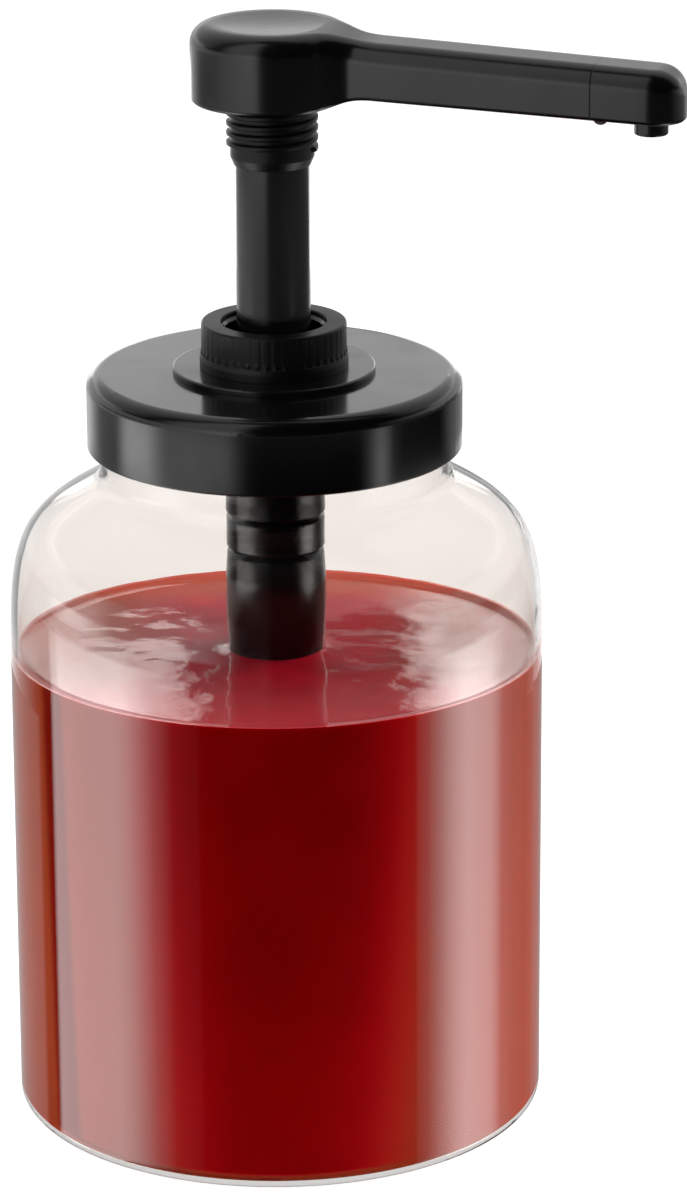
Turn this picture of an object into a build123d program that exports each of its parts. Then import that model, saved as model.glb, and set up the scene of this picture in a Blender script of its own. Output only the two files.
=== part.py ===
"""Pump-top syrup dispenser: a clear wide-mouth jar of syrup, a screw lid and a lock-down lever pump.

Millimetres, +Z up. The origin is the centre of the jar's base, on the surface it stands on.
The spout points along +X and the pump stands up, at the top of its stroke.
"""

import os
from math import cos, radians, sin, sqrt

from build123d import *

os.makedirs("parts", exist_ok=True)

# ---------------------------------------------------------------------------------------------
# Driving dimensions
# ---------------------------------------------------------------------------------------------

# Selection of faces and edges
match_tolerance = 0.01
steepest_outline = 0.95             # the steepest slope, as a sine, of an edge along an outline

# Closure between the jar and the lid
lid_radius = 43.26
lid_wall = 1.35
neck_lid_room = 1.51                # from the lid's wall to the jar's neck, for the closure's thread
neck_radius = lid_radius - lid_wall - neck_lid_room

# Jar
jar_radius = 62.0
jar_wall = 1.6
jar_base_corner = 3.1
jar_rim_z = 175.2
neck_height = 22.2
shoulder_height = 38.9
shoulder_top_z = jar_rim_z - neck_height
shoulder_bottom_z = shoulder_top_z - shoulder_height
shoulder_pull_rise = 30.8           # the curve's first pull, straight above the wall
shoulder_bulge_z = shoulder_bottom_z + shoulder_pull_rise
shoulder_turn_reach = 15.4          # and its second pull, towards the neck
shoulder_turn_radius = neck_radius + shoulder_turn_reach
shoulder_turn_drop = 10.05
shoulder_turn_z = shoulder_top_z - shoulder_turn_drop
shoulder_neck_blend = 3.5
rim_rounding = 0.55                 # of the mouth's two edges

# Syrup
syrup_level_drop = 1.7
syrup_level_z = shoulder_bottom_z - syrup_level_drop
syrup_film = 0.1                    # between the syrup and the jar
syrup_pump_gap = 0.4                # between the syrup and the pump, so that the pump lifts out

# Lid
liner_thickness = 0.8
liner_width = 5.0
liner_clearance = 0.3               # between the liner and the jar's rim
lid_top_thickness = 1.6
lid_underside_z = jar_rim_z + liner_clearance + liner_thickness
lid_top_z = lid_underside_z + lid_top_thickness
lid_height = 17.4
lid_bottom_z = lid_top_z - lid_height
lid_edge_radius = 3.4
lid_skirt_rounding = 0.35

# Stem, and the lock-down thread of the sleeve round it: the pump's other radii follow from these
stem_radius = 8.5
stem_wall = 1.9
stem_bore_radius = stem_radius - stem_wall
guide_clearance = 0.06
sleeve_wall = 1.1
sleeve_radius = stem_radius + sleeve_wall
sleeve_nose_wall = 0.25
sleeve_nose_radius = stem_radius + sleeve_nose_wall
sleeve_length = 14.8
sleeve_cone_height = 2.0
lock_pitch = 2.3
lock_thread_height = 0.85
lock_crest_radius = sleeve_radius + lock_thread_height
lock_crest_width = 0.7
lock_root_width = 1.5
lock_male_drop = 11.0               # of the male thread's start below the head
lock_male_turns = 4.1
lock_female_turns = 2.8

# Clamp of the pump in the lid
lock_thread_room = 0.75
pump_neck_bore_radius = lock_crest_radius + lock_thread_room
lock_female_height = 1.15
lock_female_crest_radius = pump_neck_bore_radius - lock_female_height
pump_neck_wall = 2.0
pump_neck_radius = pump_neck_bore_radius + pump_neck_wall
pump_neck_height = 10.7             # above the lid
pump_neck_top_z = lid_top_z + pump_neck_height
lock_female_drop = 8.0
lock_female_bottom_z = pump_neck_top_z - lock_female_drop
pump_neck_chamfer = 0.6
seat_clearance = 0.05               # radial, between pieces that stay put in each other
shoulder_flange_reach = 3.8
shoulder_flange_radius = pump_neck_radius + shoulder_flange_reach
shoulder_flange_thickness = 3.4
gasket_thickness = 1.0

# Locking collar, on its own disc
collar_wall = 3.5
collar_radius = pump_neck_radius + collar_wall
collar_foot_reach = 0.4
collar_foot_radius = collar_radius + collar_foot_reach
collar_foot_height = 1.9
collar_flare_height = 2.6
collar_mouth_step = 1.0
collar_mouth_radius = pump_neck_bore_radius + collar_mouth_step
collar_top_thickness = 1.1
collar_top_z = pump_neck_top_z + collar_top_thickness
collar_edge_radius = 0.6
collar_mouth_edge = 0.35
flute_count = 48
flute_depth = 0.06
flute_radius = 3.0
flute_start_height = 3.0            # of the flutes' feet above the flange disc
flange_disc_reach = 6.6
flange_disc_radius = collar_radius + flange_disc_reach
flange_disc_thickness = 1.4
flange_disc_edge = 0.35

# Pump body below the lid: body, coupling ring and cylinder meet at two grooves
body_stem_room = 0.8
body_bore_radius = stem_radius + body_stem_room
body_wall = 2.15
body_radius = body_bore_radius + body_wall
body_flare = 0.12
body_flare_height = 4.2
body_length = 34.0                  # from the lid's top to the upper groove
upper_groove_z = lid_top_z - body_length
coupling_ring_height = 8.5
lower_groove_z = upper_groove_z - coupling_ring_height
groove_depth = 1.0
groove_half_width = 0.9
ring_step = 0.05
ring_radius = body_radius - ring_step
spigot_wall = 0.85
spigot_radius = body_bore_radius + spigot_wall
spigot_depth = 4.8                  # of the spigot in the cylinder
spigot_bottom_z = lower_groove_z - spigot_depth
spigot_lip_height = 2.0
spigot_lip = 0.4
spigot_lip_radius = body_bore_radius - spigot_lip

# Cylinder
cylinder_bore_step = 0.3
cylinder_bore_radius = body_bore_radius + cylinder_bore_step
cylinder_neck_step = 0.2
cylinder_neck_radius = body_radius - cylinder_neck_step
cylinder_bulge = 0.17
cylinder_bulge_radius = body_radius + cylinder_bulge
cylinder_bulge_drop = 7.2
cylinder_bulge_z = lower_groove_z - cylinder_bulge_drop
cylinder_waist = 0.35
cylinder_waist_radius = body_radius - cylinder_waist
cylinder_waist_drop = 22.8
cylinder_waist_z = lower_groove_z - cylinder_waist_drop
cylinder_foot_step = 0.5
cylinder_foot_radius = body_radius - cylinder_foot_step
cylinder_length = 85.4
cylinder_floor_z = lower_groove_z - cylinder_length
valve_house_radius = 6.9
valve_cone_height = 5.0
tube_socket_depth = 12.0
inlet_house_height = 10.0
tube_socket_top_z = cylinder_floor_z - inlet_house_height
tube_socket_bottom_z = tube_socket_top_z - tube_socket_depth

# Stem guide and wiper
bush_flange_thickness = 1.5
bush_length = 10.8
wiper_thickness = 1.0
wiper_seat_wall = 1.22
wiper_radius = pump_neck_bore_radius - wiper_seat_wall
wiper_clearance = 0.03
wiper_lip = 0.35

# Piston and its swivel on the stem
piston_rest_gap = 0.4               # below the spigot, at the top of the stroke
piston_length = 14.0
piston_top_z = spigot_bottom_z - piston_rest_gap
piston_bottom_z = piston_top_z - piston_length
piston_clearance = 0.04
piston_waist_step = 0.7
piston_waist_radius = cylinder_bore_radius - piston_waist_step
piston_lip_height = 2.2
piston_lip_taper = 1.0
seal_height = 1.9
seal_rounding = 0.55
seal_groove_step = 1.3
seal_groove_radius = cylinder_bore_radius - seal_groove_step
seal_rise = 6.1
seal_z = piston_bottom_z + seal_rise
swivel_step = 0.6
swivel_radius = stem_bore_radius - swivel_step
swivel_clearance = 0.06
swivel_play = 0.1
barb_reach = 0.5
barb_radius = swivel_radius + barb_reach
barb_height = 1.0
barb_pocket_reach = 1.0
barb_pocket_radius = swivel_radius + barb_pocket_reach
barb_pocket_depth = 2.0

# Ball valves
outlet_ball_radius = 3.2
ball_room = 1.0
outlet_chamber_radius = outlet_ball_radius + ball_room
outlet_hole_radius = 2.0
outlet_seat_rise = 5.8              # top of the 45 degree seat
outlet_seat_z = piston_bottom_z + outlet_seat_rise
outlet_cage_rise = 11.6
outlet_cage_bottom_z = piston_bottom_z + outlet_cage_rise
outlet_cage_thickness = 2.0
outlet_cage_hole_circle = 2.2
outlet_cage_hole_radius = 1.3
outlet_cage_hole_count = 3
inlet_ball_radius = 3.9
inlet_chamber_radius = inlet_ball_radius + ball_room
inlet_hole_radius = 2.4
inlet_seat_rise = 2.6
inlet_seat_z = tube_socket_top_z + inlet_seat_rise
inlet_cage_thickness = 1.2
inlet_cage_depth = 0.7
inlet_cage_hole_circle = 2.9
inlet_cage_hole_radius = 1.4
inlet_cage_hole_count = 4
ball_gap = 0.05                     # between a resting ball and its seat

# Return spring
spring_bore_room = 1.5
spring_radius = cylinder_bore_radius - spring_bore_room
spring_wire_radius = 0.65
spring_turns = 6.5
spring_play = 0.3

# Dip tube
dip_tube_radius = 4.6
dip_tube_bore_radius = 3.6
dip_tube_base_room = 6.7
dip_tube_bottom_z = jar_wall + dip_tube_base_room
dip_tube_cut_angle = 30.0

# Head, arm and spout tip: heights hang from the head's top, lengths run back from the tip's end
head_radius = 18.45
head_rise = 69.26                   # of the head's top above the collar, pump up
head_top_z = collar_top_z + head_rise
head_height = 17.65
head_bottom_z = head_top_z - head_height
head_top_edge = 4.4
head_bottom_edge = 0.9
dish_border = 5.7
dish_radius = head_radius - dish_border
dish_depth = 0.45
stem_top_drop = 12.06
stem_top_z = head_top_z - stem_top_drop
arm_reference_reach = 1.3           # where the arm's section is measured
arm_reference_x = head_radius + arm_reference_reach
arm_half_width = 8.2
arm_half_width_slope = -0.004
arm_top_drop = 2.03
arm_top_z = head_top_z - arm_top_drop
arm_top_slope = -0.037
arm_bottom_drop = 14.66
arm_bottom_z = head_top_z - arm_bottom_drop
arm_bottom_slope = -0.026
arm_side_blend = 9.0
arm_blend_inset = 8.7
arm_blend_start_x = head_radius - arm_blend_inset
arm_blend_reach = 7.3
arm_blend_end_x = head_radius + arm_blend_reach
tip_end_x = 95.9
tip_length = 19.9
seam_x = tip_end_x - tip_length
seam_gap = 0.1
tip_corner = 7.4
tip_end_radius = 6.2
channel_drop = 10.26
channel_z = head_top_z - channel_drop
channel_radius = 3.0
tip_spigot_wall = 0.9
tip_spigot_radius = channel_radius + tip_spigot_wall
tip_spigot_length = 6.0
tip_channel_radius = 2.4
chamber_headroom = 0.6              # of the chamber above the channel
nozzle_inset = 7.8
nozzle_x = tip_end_x - nozzle_inset
nozzle_radius = 3.85
nozzle_drop = 19.95
nozzle_bottom_z = head_top_z - nozzle_drop
nozzle_edge = 0.5
latch_reach = 2.2
latch_x = seam_x + latch_reach
latch_radius = 1.9
latch_width = 14.0
latch_drop = 0.8                    # of the bump's crown below the underside

# Sleeve under the head
sleeve_bottom_z = head_bottom_z - sleeve_length
lock_male_bottom_z = head_bottom_z - lock_male_drop

# ---------------------------------------------------------------------------------------------
# Shared shapes
# ---------------------------------------------------------------------------------------------

thread_embed = 0.25                 # how far a thread's rib reaches into the wall that carries it


def disc(bottom_z, top_z, radius, mode=Mode.ADD):
    """Adds or cuts a round disc in the part being built."""
    with BuildSketch(Plane.XY.offset(bottom_z)) as profile:
        Circle(radius)
    extrude(profile.sketch, amount=top_z - bottom_z, mode=mode)


def turned(*outline, mode=Mode.ADD):
    """Adds or cuts a piece turned about the Z axis from its (radius, height) corners."""
    with BuildSketch(Plane.XZ) as profile:
        with BuildLine():
            Polyline(*outline, close=True)
        make_face()
    revolve(profile.sketch, axis=Axis.Z, mode=mode)


def thread_rib(wall_radius, crest_radius, pitch, turns, bottom_z, root_width, crest_width):
    """Adds a helical rib on a round wall: outwards or inwards, as the crest's radius says."""
    outward = 1 if crest_radius > wall_radius else -1
    with BuildLine() as path:
        Helix(pitch, pitch * turns, wall_radius, center=(0, 0, bottom_z))
    start = path.line @ 0
    height = abs(crest_radius - wall_radius)
    with BuildSketch(Plane(origin=start, x_dir=(outward, 0, 0), z_dir=path.line % 0)) as profile:
        with BuildLine():
            Polyline(
                (-thread_embed, -root_width / 2),
                (0, -root_width / 2),
                (height, -crest_width / 2),
                (height, crest_width / 2),
                (0, root_width / 2),
                (-thread_embed, root_width / 2),
                close=True,
            )
        make_face()
    sweep(profile.sketch, path=path.line, is_frenet=True)


def arm_half_width_at(x):
    """Half the arm's width at a distance from the pump's axis."""
    return arm_half_width + arm_half_width_slope * (x - arm_reference_x)


def arm_top_at(x):
    """Height of the arm's top at a distance from the pump's axis."""
    return arm_top_z + arm_top_slope * (x - arm_reference_x)


def arm_bottom_at(x):
    """Height of the arm's underside at a distance from the pump's axis."""
    return arm_bottom_z + arm_bottom_slope * (x - arm_reference_x)


# ---------------------------------------------------------------------------------------------
# Jar and syrup
# ---------------------------------------------------------------------------------------------

jar_inner_radius = jar_radius - jar_wall

with BuildPart() as jar:
    with BuildSketch(Plane.XZ) as jar_outline:
        with BuildLine():
            Line((0, 0), (jar_radius, 0))
            Line((jar_radius, 0), (jar_radius, shoulder_bottom_z))
            Bezier(
                (jar_radius, shoulder_bottom_z),
                (jar_radius, shoulder_bulge_z),
                (shoulder_turn_radius, shoulder_turn_z),
                (neck_radius, shoulder_top_z),
            )
            Line((neck_radius, shoulder_top_z), (neck_radius, jar_rim_z))
            Line((neck_radius, jar_rim_z), (0, jar_rim_z))
            Line((0, jar_rim_z), (0, 0))
        make_face()
        corner = jar_outline.vertices().sort_by_distance((jar_radius, 0))[0]
        fillet(corner, jar_base_corner)
        root = jar_outline.vertices().sort_by_distance((neck_radius, shoulder_top_z))[0]
        fillet(root, shoulder_neck_blend)
    revolve(axis=Axis.Z)
    offset(amount=-jar_wall, openings=jar.faces().sort_by(Axis.Z)[-1])
    rim_edges = jar.edges().group_by(Axis.Z)[-1]
    fillet(rim_edges, rim_rounding)
jar.part.label = "jar"
export_step(jar.part, "parts/jar.step")

# The pump's outline below the syrup's surface, as (radius, height) from the dip tube upwards.
valve_cone_bottom_z = cylinder_floor_z - valve_cone_height
pump_wet_outline = [
    (dip_tube_radius, dip_tube_bottom_z),
    (dip_tube_radius, tube_socket_bottom_z),
    (valve_house_radius, tube_socket_bottom_z),
    (valve_house_radius, valve_cone_bottom_z),
    (cylinder_foot_radius, cylinder_floor_z),
    (cylinder_waist_radius, cylinder_waist_z),
]

with BuildPart() as syrup_fill:
    syrup_radius = jar_inner_radius - syrup_film
    syrup_bottom_z = jar_wall + syrup_film
    disc(syrup_bottom_z, syrup_level_z, syrup_radius)
    base_edge = syrup_fill.edges().sort_by(Axis.Z)[0]
    fillet(base_edge, jar_base_corner - jar_wall)
    pocket = [(radius + syrup_pump_gap, height - syrup_pump_gap) for radius, height in pump_wet_outline]
    turned(
        (0, pocket[0][1]),
        *pocket,
        (cylinder_bulge_radius + syrup_pump_gap, cylinder_bulge_z),
        (0, cylinder_bulge_z),
        mode=Mode.SUBTRACT,
    )
syrup_fill.part.label = "syrup_fill"
export_step(syrup_fill.part, "parts/syrup_fill.step")

# ---------------------------------------------------------------------------------------------
# Lid, liner and the clamp of the pump
# ---------------------------------------------------------------------------------------------

lid_bore_radius = lid_radius - lid_wall
pump_hole_radius = pump_neck_radius + seat_clearance

with BuildPart() as lid:
    disc(lid_bottom_z, lid_top_z, lid_radius)
    top_edge = lid.edges().filter_by(GeomType.CIRCLE).sort_by(Axis.Z)[-1]
    fillet(top_edge, lid_edge_radius)
    disc(lid_bottom_z, lid_underside_z, lid_bore_radius, mode=Mode.SUBTRACT)
    corner_edge = lid.edges().filter_by(GeomType.CIRCLE).filter_by_position(
        Axis.Z, lid_underside_z - match_tolerance, lid_underside_z + match_tolerance
    )
    fillet(corner_edge, lid_edge_radius - lid_wall)
    disc(lid_underside_z, lid_top_z, pump_hole_radius, mode=Mode.SUBTRACT)
    bottom_edges = lid.edges().group_by(Axis.Z)[0]
    fillet(bottom_edges, lid_skirt_rounding)
lid.part.label = "lid"
export_step(lid.part, "parts/lid.step")

with BuildPart() as lid_liner:
    liner_outer_radius = lid_bore_radius - (lid_edge_radius - lid_wall)
    liner_bottom_z = lid_underside_z - liner_thickness
    disc(liner_bottom_z, lid_underside_z, liner_outer_radius)
    disc(liner_bottom_z, lid_underside_z, liner_outer_radius - liner_width, mode=Mode.SUBTRACT)
lid_liner.part.label = "lid_liner"
export_step(lid_liner.part, "parts/lid_liner.step")

flange_disc_top_z = lid_top_z + flange_disc_thickness
with BuildPart() as flange_disc:
    disc(lid_top_z, flange_disc_top_z, flange_disc_radius)
    outer_edge = flange_disc.edges().filter_by(GeomType.CIRCLE).sort_by(Axis.Z)[-1]
    fillet(outer_edge, flange_disc_edge)
    disc(lid_top_z, flange_disc_top_z, pump_hole_radius, mode=Mode.SUBTRACT)
flange_disc.part.label = "flange_disc"
export_step(flange_disc.part, "parts/flange_disc.step")

shoulder_flange_top_z = lid_underside_z - gasket_thickness
with BuildPart() as body_gasket:
    disc(shoulder_flange_top_z, lid_underside_z, shoulder_flange_radius)
    disc(shoulder_flange_top_z, lid_underside_z, pump_hole_radius, mode=Mode.SUBTRACT)
body_gasket.part.label = "body_gasket"
export_step(body_gasket.part, "parts/body_gasket.step")

# ---------------------------------------------------------------------------------------------
# Pump body: clamped neck with the lock-down thread, guide seat, tube and spigot
# ---------------------------------------------------------------------------------------------

shoulder_flange_bottom_z = shoulder_flange_top_z - shoulder_flange_thickness
bush_seat_z = shoulder_flange_bottom_z + shoulder_flange_thickness / 2
body_flared_radius = body_radius + body_flare

with BuildPart() as pump_body:
    turned(
        (0, spigot_bottom_z),
        (spigot_radius, spigot_bottom_z),
        (spigot_radius, upper_groove_z),
        (body_flared_radius - groove_depth, upper_groove_z),
        (body_flared_radius, upper_groove_z + groove_half_width),
        (body_radius, upper_groove_z + body_flare_height),
        (body_radius, shoulder_flange_bottom_z),
        (shoulder_flange_radius, shoulder_flange_bottom_z),
        (shoulder_flange_radius, shoulder_flange_top_z),
        (pump_neck_radius, shoulder_flange_top_z),
        (pump_neck_radius, pump_neck_top_z),
        (0, pump_neck_top_z),
    )
    disc(bush_seat_z, pump_neck_top_z, pump_neck_bore_radius, mode=Mode.SUBTRACT)
    disc(spigot_bottom_z, bush_seat_z, spigot_lip_radius, mode=Mode.SUBTRACT)
    disc(spigot_bottom_z + spigot_lip_height, bush_seat_z, body_bore_radius, mode=Mode.SUBTRACT)
    mouth_edge = pump_body.edges().group_by(Axis.Z)[-1].sort_by(SortBy.RADIUS)[0]
    chamfer(mouth_edge, pump_neck_chamfer)
    thread_rib(
        pump_neck_bore_radius,
        lock_female_crest_radius,
        lock_pitch,
        lock_female_turns,
        lock_female_bottom_z,
        lock_root_width,
        lock_crest_width,
    )
pump_body.part.label = "pump_body"
export_step(pump_body.part, "parts/pump_body.step")

with BuildPart() as locking_collar:
    foot_top_z = flange_disc_top_z + collar_foot_height
    turned(
        (pump_hole_radius, flange_disc_top_z),
        (collar_foot_radius, flange_disc_top_z),
        (collar_foot_radius, foot_top_z),
        (collar_radius, foot_top_z + collar_flare_height),
        (collar_radius, collar_top_z),
        (collar_mouth_radius, collar_top_z),
        (collar_mouth_radius, pump_neck_top_z + seat_clearance),
        (pump_hole_radius, pump_neck_top_z + seat_clearance),
    )
    rim = locking_collar.edges().group_by(Axis.Z)[-1].sort_by(SortBy.RADIUS)
    fillet(rim[-1], collar_edge_radius)
    fillet(rim[0], collar_mouth_edge)
    flute_bottom_z = flange_disc_top_z + flute_start_height
    with BuildSketch(Plane.XY.offset(flute_bottom_z)):
        with PolarLocations(collar_radius + flute_radius - flute_depth, flute_count):
            Circle(flute_radius)
    extrude(amount=collar_top_z - flute_bottom_z, mode=Mode.SUBTRACT)
locking_collar.part.label = "locking_collar"
export_step(locking_collar.part, "parts/locking_collar.step")

# ---------------------------------------------------------------------------------------------
# Stem guide and wiper
# ---------------------------------------------------------------------------------------------

bush_top_z = bush_seat_z + bush_flange_thickness
guide_bore_radius = stem_radius + guide_clearance

with BuildPart() as stem_bush:
    disc(bush_seat_z, bush_top_z, pump_neck_bore_radius - seat_clearance)
    disc(bush_top_z - bush_length, bush_seat_z, body_bore_radius - seat_clearance)
    disc(bush_top_z - bush_length, bush_top_z, guide_bore_radius, mode=Mode.SUBTRACT)
    disc(bush_top_z - wiper_thickness, bush_top_z, wiper_radius + seat_clearance, mode=Mode.SUBTRACT)
stem_bush.part.label = "stem_bush"
export_step(stem_bush.part, "parts/stem_bush.step")

with BuildPart() as wiper_seal:
    wiper_bore_radius = stem_radius + wiper_clearance
    turned(
        (wiper_bore_radius, bush_top_z - wiper_thickness / 2),
        (wiper_bore_radius + wiper_lip, bush_top_z - wiper_thickness),
        (wiper_radius, bush_top_z - wiper_thickness),
        (wiper_radius, bush_top_z),
        (wiper_bore_radius + wiper_lip, bush_top_z),
    )
wiper_seal.part.label = "wiper_seal"
export_step(wiper_seal.part, "parts/wiper_seal.step")

# ---------------------------------------------------------------------------------------------
# Coupling ring, cylinder, inlet valve and dip tube
# ---------------------------------------------------------------------------------------------

socket_radius = spigot_radius + seat_clearance

with BuildPart() as coupling_ring:
    turned(
        (socket_radius, lower_groove_z),
        (ring_radius - groove_depth, lower_groove_z),
        (ring_radius, lower_groove_z + groove_half_width),
        (ring_radius, upper_groove_z - groove_half_width),
        (ring_radius - groove_depth, upper_groove_z),
        (socket_radius, upper_groove_z),
    )
coupling_ring.part.label = "coupling_ring"
export_step(coupling_ring.part, "parts/coupling_ring.step")

inlet_cage_top_z = cylinder_floor_z + inlet_cage_thickness
inlet_cone_bottom_z = inlet_seat_z - (inlet_chamber_radius - inlet_hole_radius)
tube_socket_radius = dip_tube_radius + seat_clearance

with BuildPart() as pump_cylinder:
    with BuildSketch(Plane.XZ):
        with BuildLine():
            Polyline(
                (0, tube_socket_bottom_z),
                (valve_house_radius, tube_socket_bottom_z),
                (valve_house_radius, valve_cone_bottom_z),
                (cylinder_foot_radius, cylinder_floor_z),
                (cylinder_waist_radius, cylinder_waist_z),
            )
            Spline(
                (cylinder_waist_radius, cylinder_waist_z),
                (cylinder_bulge_radius, cylinder_bulge_z),
                (cylinder_neck_radius, lower_groove_z - groove_half_width),
            )
            Polyline(
                (cylinder_neck_radius, lower_groove_z - groove_half_width),
                (cylinder_neck_radius - groove_depth, lower_groove_z),
                (0, lower_groove_z),
                (0, tube_socket_bottom_z),
            )
        make_face()
    revolve(axis=Axis.Z)
    disc(spigot_bottom_z, lower_groove_z, socket_radius, mode=Mode.SUBTRACT)
    disc(cylinder_floor_z, spigot_bottom_z, cylinder_bore_radius, mode=Mode.SUBTRACT)
    turned(
        (0, tube_socket_top_z),
        (inlet_hole_radius, tube_socket_top_z),
        (inlet_hole_radius, inlet_cone_bottom_z),
        (inlet_chamber_radius, inlet_seat_z),
        (inlet_chamber_radius, cylinder_floor_z),
        (0, cylinder_floor_z),
        mode=Mode.SUBTRACT,
    )
    disc(tube_socket_bottom_z, tube_socket_top_z, tube_socket_radius, mode=Mode.SUBTRACT)
pump_cylinder.part.label = "pump_cylinder"
export_step(pump_cylinder.part, "parts/pump_cylinder.step")

with BuildPart() as inlet_cage:
    cage_plug_radius = inlet_chamber_radius - seat_clearance
    disc(cylinder_floor_z, inlet_cage_top_z, cylinder_bore_radius - seat_clearance)
    disc(cylinder_floor_z - inlet_cage_depth, cylinder_floor_z, cage_plug_radius)
    with BuildSketch(Plane.XY.offset(cylinder_floor_z - inlet_cage_depth)):
        with PolarLocations(inlet_cage_hole_circle, inlet_cage_hole_count):
            Circle(inlet_cage_hole_radius)
    extrude(amount=inlet_cage_thickness + inlet_cage_depth, mode=Mode.SUBTRACT)
inlet_cage.part.label = "inlet_cage"
export_step(inlet_cage.part, "parts/inlet_cage.step")

with BuildPart() as inlet_ball:
    inlet_ball_z = inlet_seat_z - inlet_chamber_radius + (inlet_ball_radius + ball_gap) * sqrt(2)
    with Locations((0, 0, inlet_ball_z)):
        Sphere(inlet_ball_radius)
inlet_ball.part.label = "inlet_ball"
export_step(inlet_ball.part, "parts/inlet_ball.step")

with BuildPart() as dip_tube:
    disc(dip_tube_bottom_z, tube_socket_top_z, dip_tube_radius)
    disc(dip_tube_bottom_z, tube_socket_top_z, dip_tube_bore_radius, mode=Mode.SUBTRACT)
    cut_normal = (sin(radians(dip_tube_cut_angle)), 0, cos(radians(dip_tube_cut_angle)))
    split(bisect_by=Plane(origin=(dip_tube_radius, 0, dip_tube_bottom_z), z_dir=cut_normal))
dip_tube.part.label = "dip_tube"
export_step(dip_tube.part, "parts/dip_tube.step")

# ---------------------------------------------------------------------------------------------
# Return spring, between the inlet cage and the piston
# ---------------------------------------------------------------------------------------------

with BuildPart() as return_spring:
    spring_bottom_z = inlet_cage_top_z + spring_wire_radius
    spring_top_z = piston_bottom_z - spring_play - spring_wire_radius
    spring_height = spring_top_z - spring_bottom_z
    with BuildLine() as spring_path:
        Helix(spring_height / spring_turns, spring_height, spring_radius, center=(0, 0, spring_bottom_z))
    wire_start = Plane(origin=spring_path.line @ 0, z_dir=spring_path.line % 0)
    with BuildSketch(wire_start):
        Circle(spring_wire_radius)
    sweep(path=spring_path.line, is_frenet=True)
return_spring.part.label = "return_spring"
export_step(return_spring.part, "parts/return_spring.step")

# ---------------------------------------------------------------------------------------------
# Piston, seal, stem and outlet valve
# ---------------------------------------------------------------------------------------------

piston_lip_radius = cylinder_bore_radius - piston_clearance
swivel_bore_radius = swivel_radius + swivel_clearance
seal_bottom_z = seal_z - seal_height / 2
seal_top_z = seal_z + seal_height / 2

with BuildPart() as piston:
    turned(
        (swivel_bore_radius, piston_bottom_z + barb_pocket_depth),
        (barb_pocket_radius, piston_bottom_z + barb_pocket_depth),
        (barb_pocket_radius, piston_bottom_z),
        (piston_lip_radius, piston_bottom_z),
        (piston_lip_radius, piston_bottom_z + piston_lip_height),
        (piston_waist_radius, piston_bottom_z + piston_lip_height + piston_lip_taper),
        (piston_waist_radius, seal_bottom_z - seat_clearance),
        (seal_groove_radius, seal_bottom_z - seat_clearance),
        (seal_groove_radius, seal_top_z + seat_clearance),
        (piston_waist_radius, seal_top_z + seat_clearance),
        (piston_waist_radius, piston_top_z - piston_lip_height - piston_lip_taper),
        (piston_lip_radius, piston_top_z - piston_lip_height),
        (piston_lip_radius, piston_top_z),
        (swivel_bore_radius, piston_top_z),
    )
piston.part.label = "piston"
export_step(piston.part, "parts/piston.step")

with BuildPart() as piston_seal:
    disc(seal_bottom_z, seal_top_z, cylinder_bore_radius - wiper_clearance)
    fillet(piston_seal.edges().filter_by(GeomType.CIRCLE), seal_rounding)
    disc(seal_bottom_z, seal_top_z, seal_groove_radius + seat_clearance, mode=Mode.SUBTRACT)
piston_seal.part.label = "piston_seal"
export_step(piston_seal.part, "parts/piston_seal.step")

stem_shoulder_z = piston_top_z + swivel_play
barb_top_z = piston_bottom_z + barb_pocket_depth - 2 * swivel_play
barb_bottom_z = barb_top_z - barb_height
outlet_cage_top_z = outlet_cage_bottom_z + outlet_cage_thickness
outlet_cone_bottom_z = outlet_seat_z - (outlet_chamber_radius - outlet_hole_radius)

with BuildPart() as stem:
    disc(stem_shoulder_z, stem_top_z, stem_radius)
    disc(barb_bottom_z, stem_shoulder_z, swivel_radius)
    disc(barb_bottom_z, barb_top_z, barb_radius)
    chamfer(stem.edges().group_by(Axis.Z)[0], barb_radius - swivel_radius)
    turned(
        (0, barb_bottom_z),
        (outlet_hole_radius, barb_bottom_z),
        (outlet_hole_radius, outlet_cone_bottom_z),
        (outlet_chamber_radius, outlet_seat_z),
        (outlet_chamber_radius, outlet_cage_top_z),
        (stem_bore_radius, outlet_cage_top_z + stem_bore_radius - outlet_chamber_radius),
        (stem_bore_radius, stem_top_z),
        (0, stem_top_z),
        mode=Mode.SUBTRACT,
    )
stem.part.label = "stem"
export_step(stem.part, "parts/stem.step")

with BuildPart() as outlet_cage:
    cage_radius = outlet_chamber_radius - seat_clearance
    disc(outlet_cage_bottom_z, outlet_cage_top_z, cage_radius)
    with BuildSketch(Plane.XY.offset(outlet_cage_bottom_z)):
        with PolarLocations(outlet_cage_hole_circle, outlet_cage_hole_count):
            Circle(outlet_cage_hole_radius)
    extrude(amount=outlet_cage_thickness, mode=Mode.SUBTRACT)
outlet_cage.part.label = "outlet_cage"
export_step(outlet_cage.part, "parts/outlet_cage.step")

with BuildPart() as outlet_ball:
    outlet_ball_z = outlet_seat_z - outlet_chamber_radius + (outlet_ball_radius + ball_gap) * sqrt(2)
    with Locations((0, 0, outlet_ball_z)):
        Sphere(outlet_ball_radius)
outlet_ball.part.label = "outlet_ball"
export_step(outlet_ball.part, "parts/outlet_ball.step")

# ---------------------------------------------------------------------------------------------
# Head with its arm: the plan view's solid, cut to the side view's outline, then rounded
# ---------------------------------------------------------------------------------------------

blend_middle_x = (arm_blend_start_x + arm_blend_end_x) / 2
head_back_x = -2 * head_radius         # clear of the plan's outline

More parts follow.
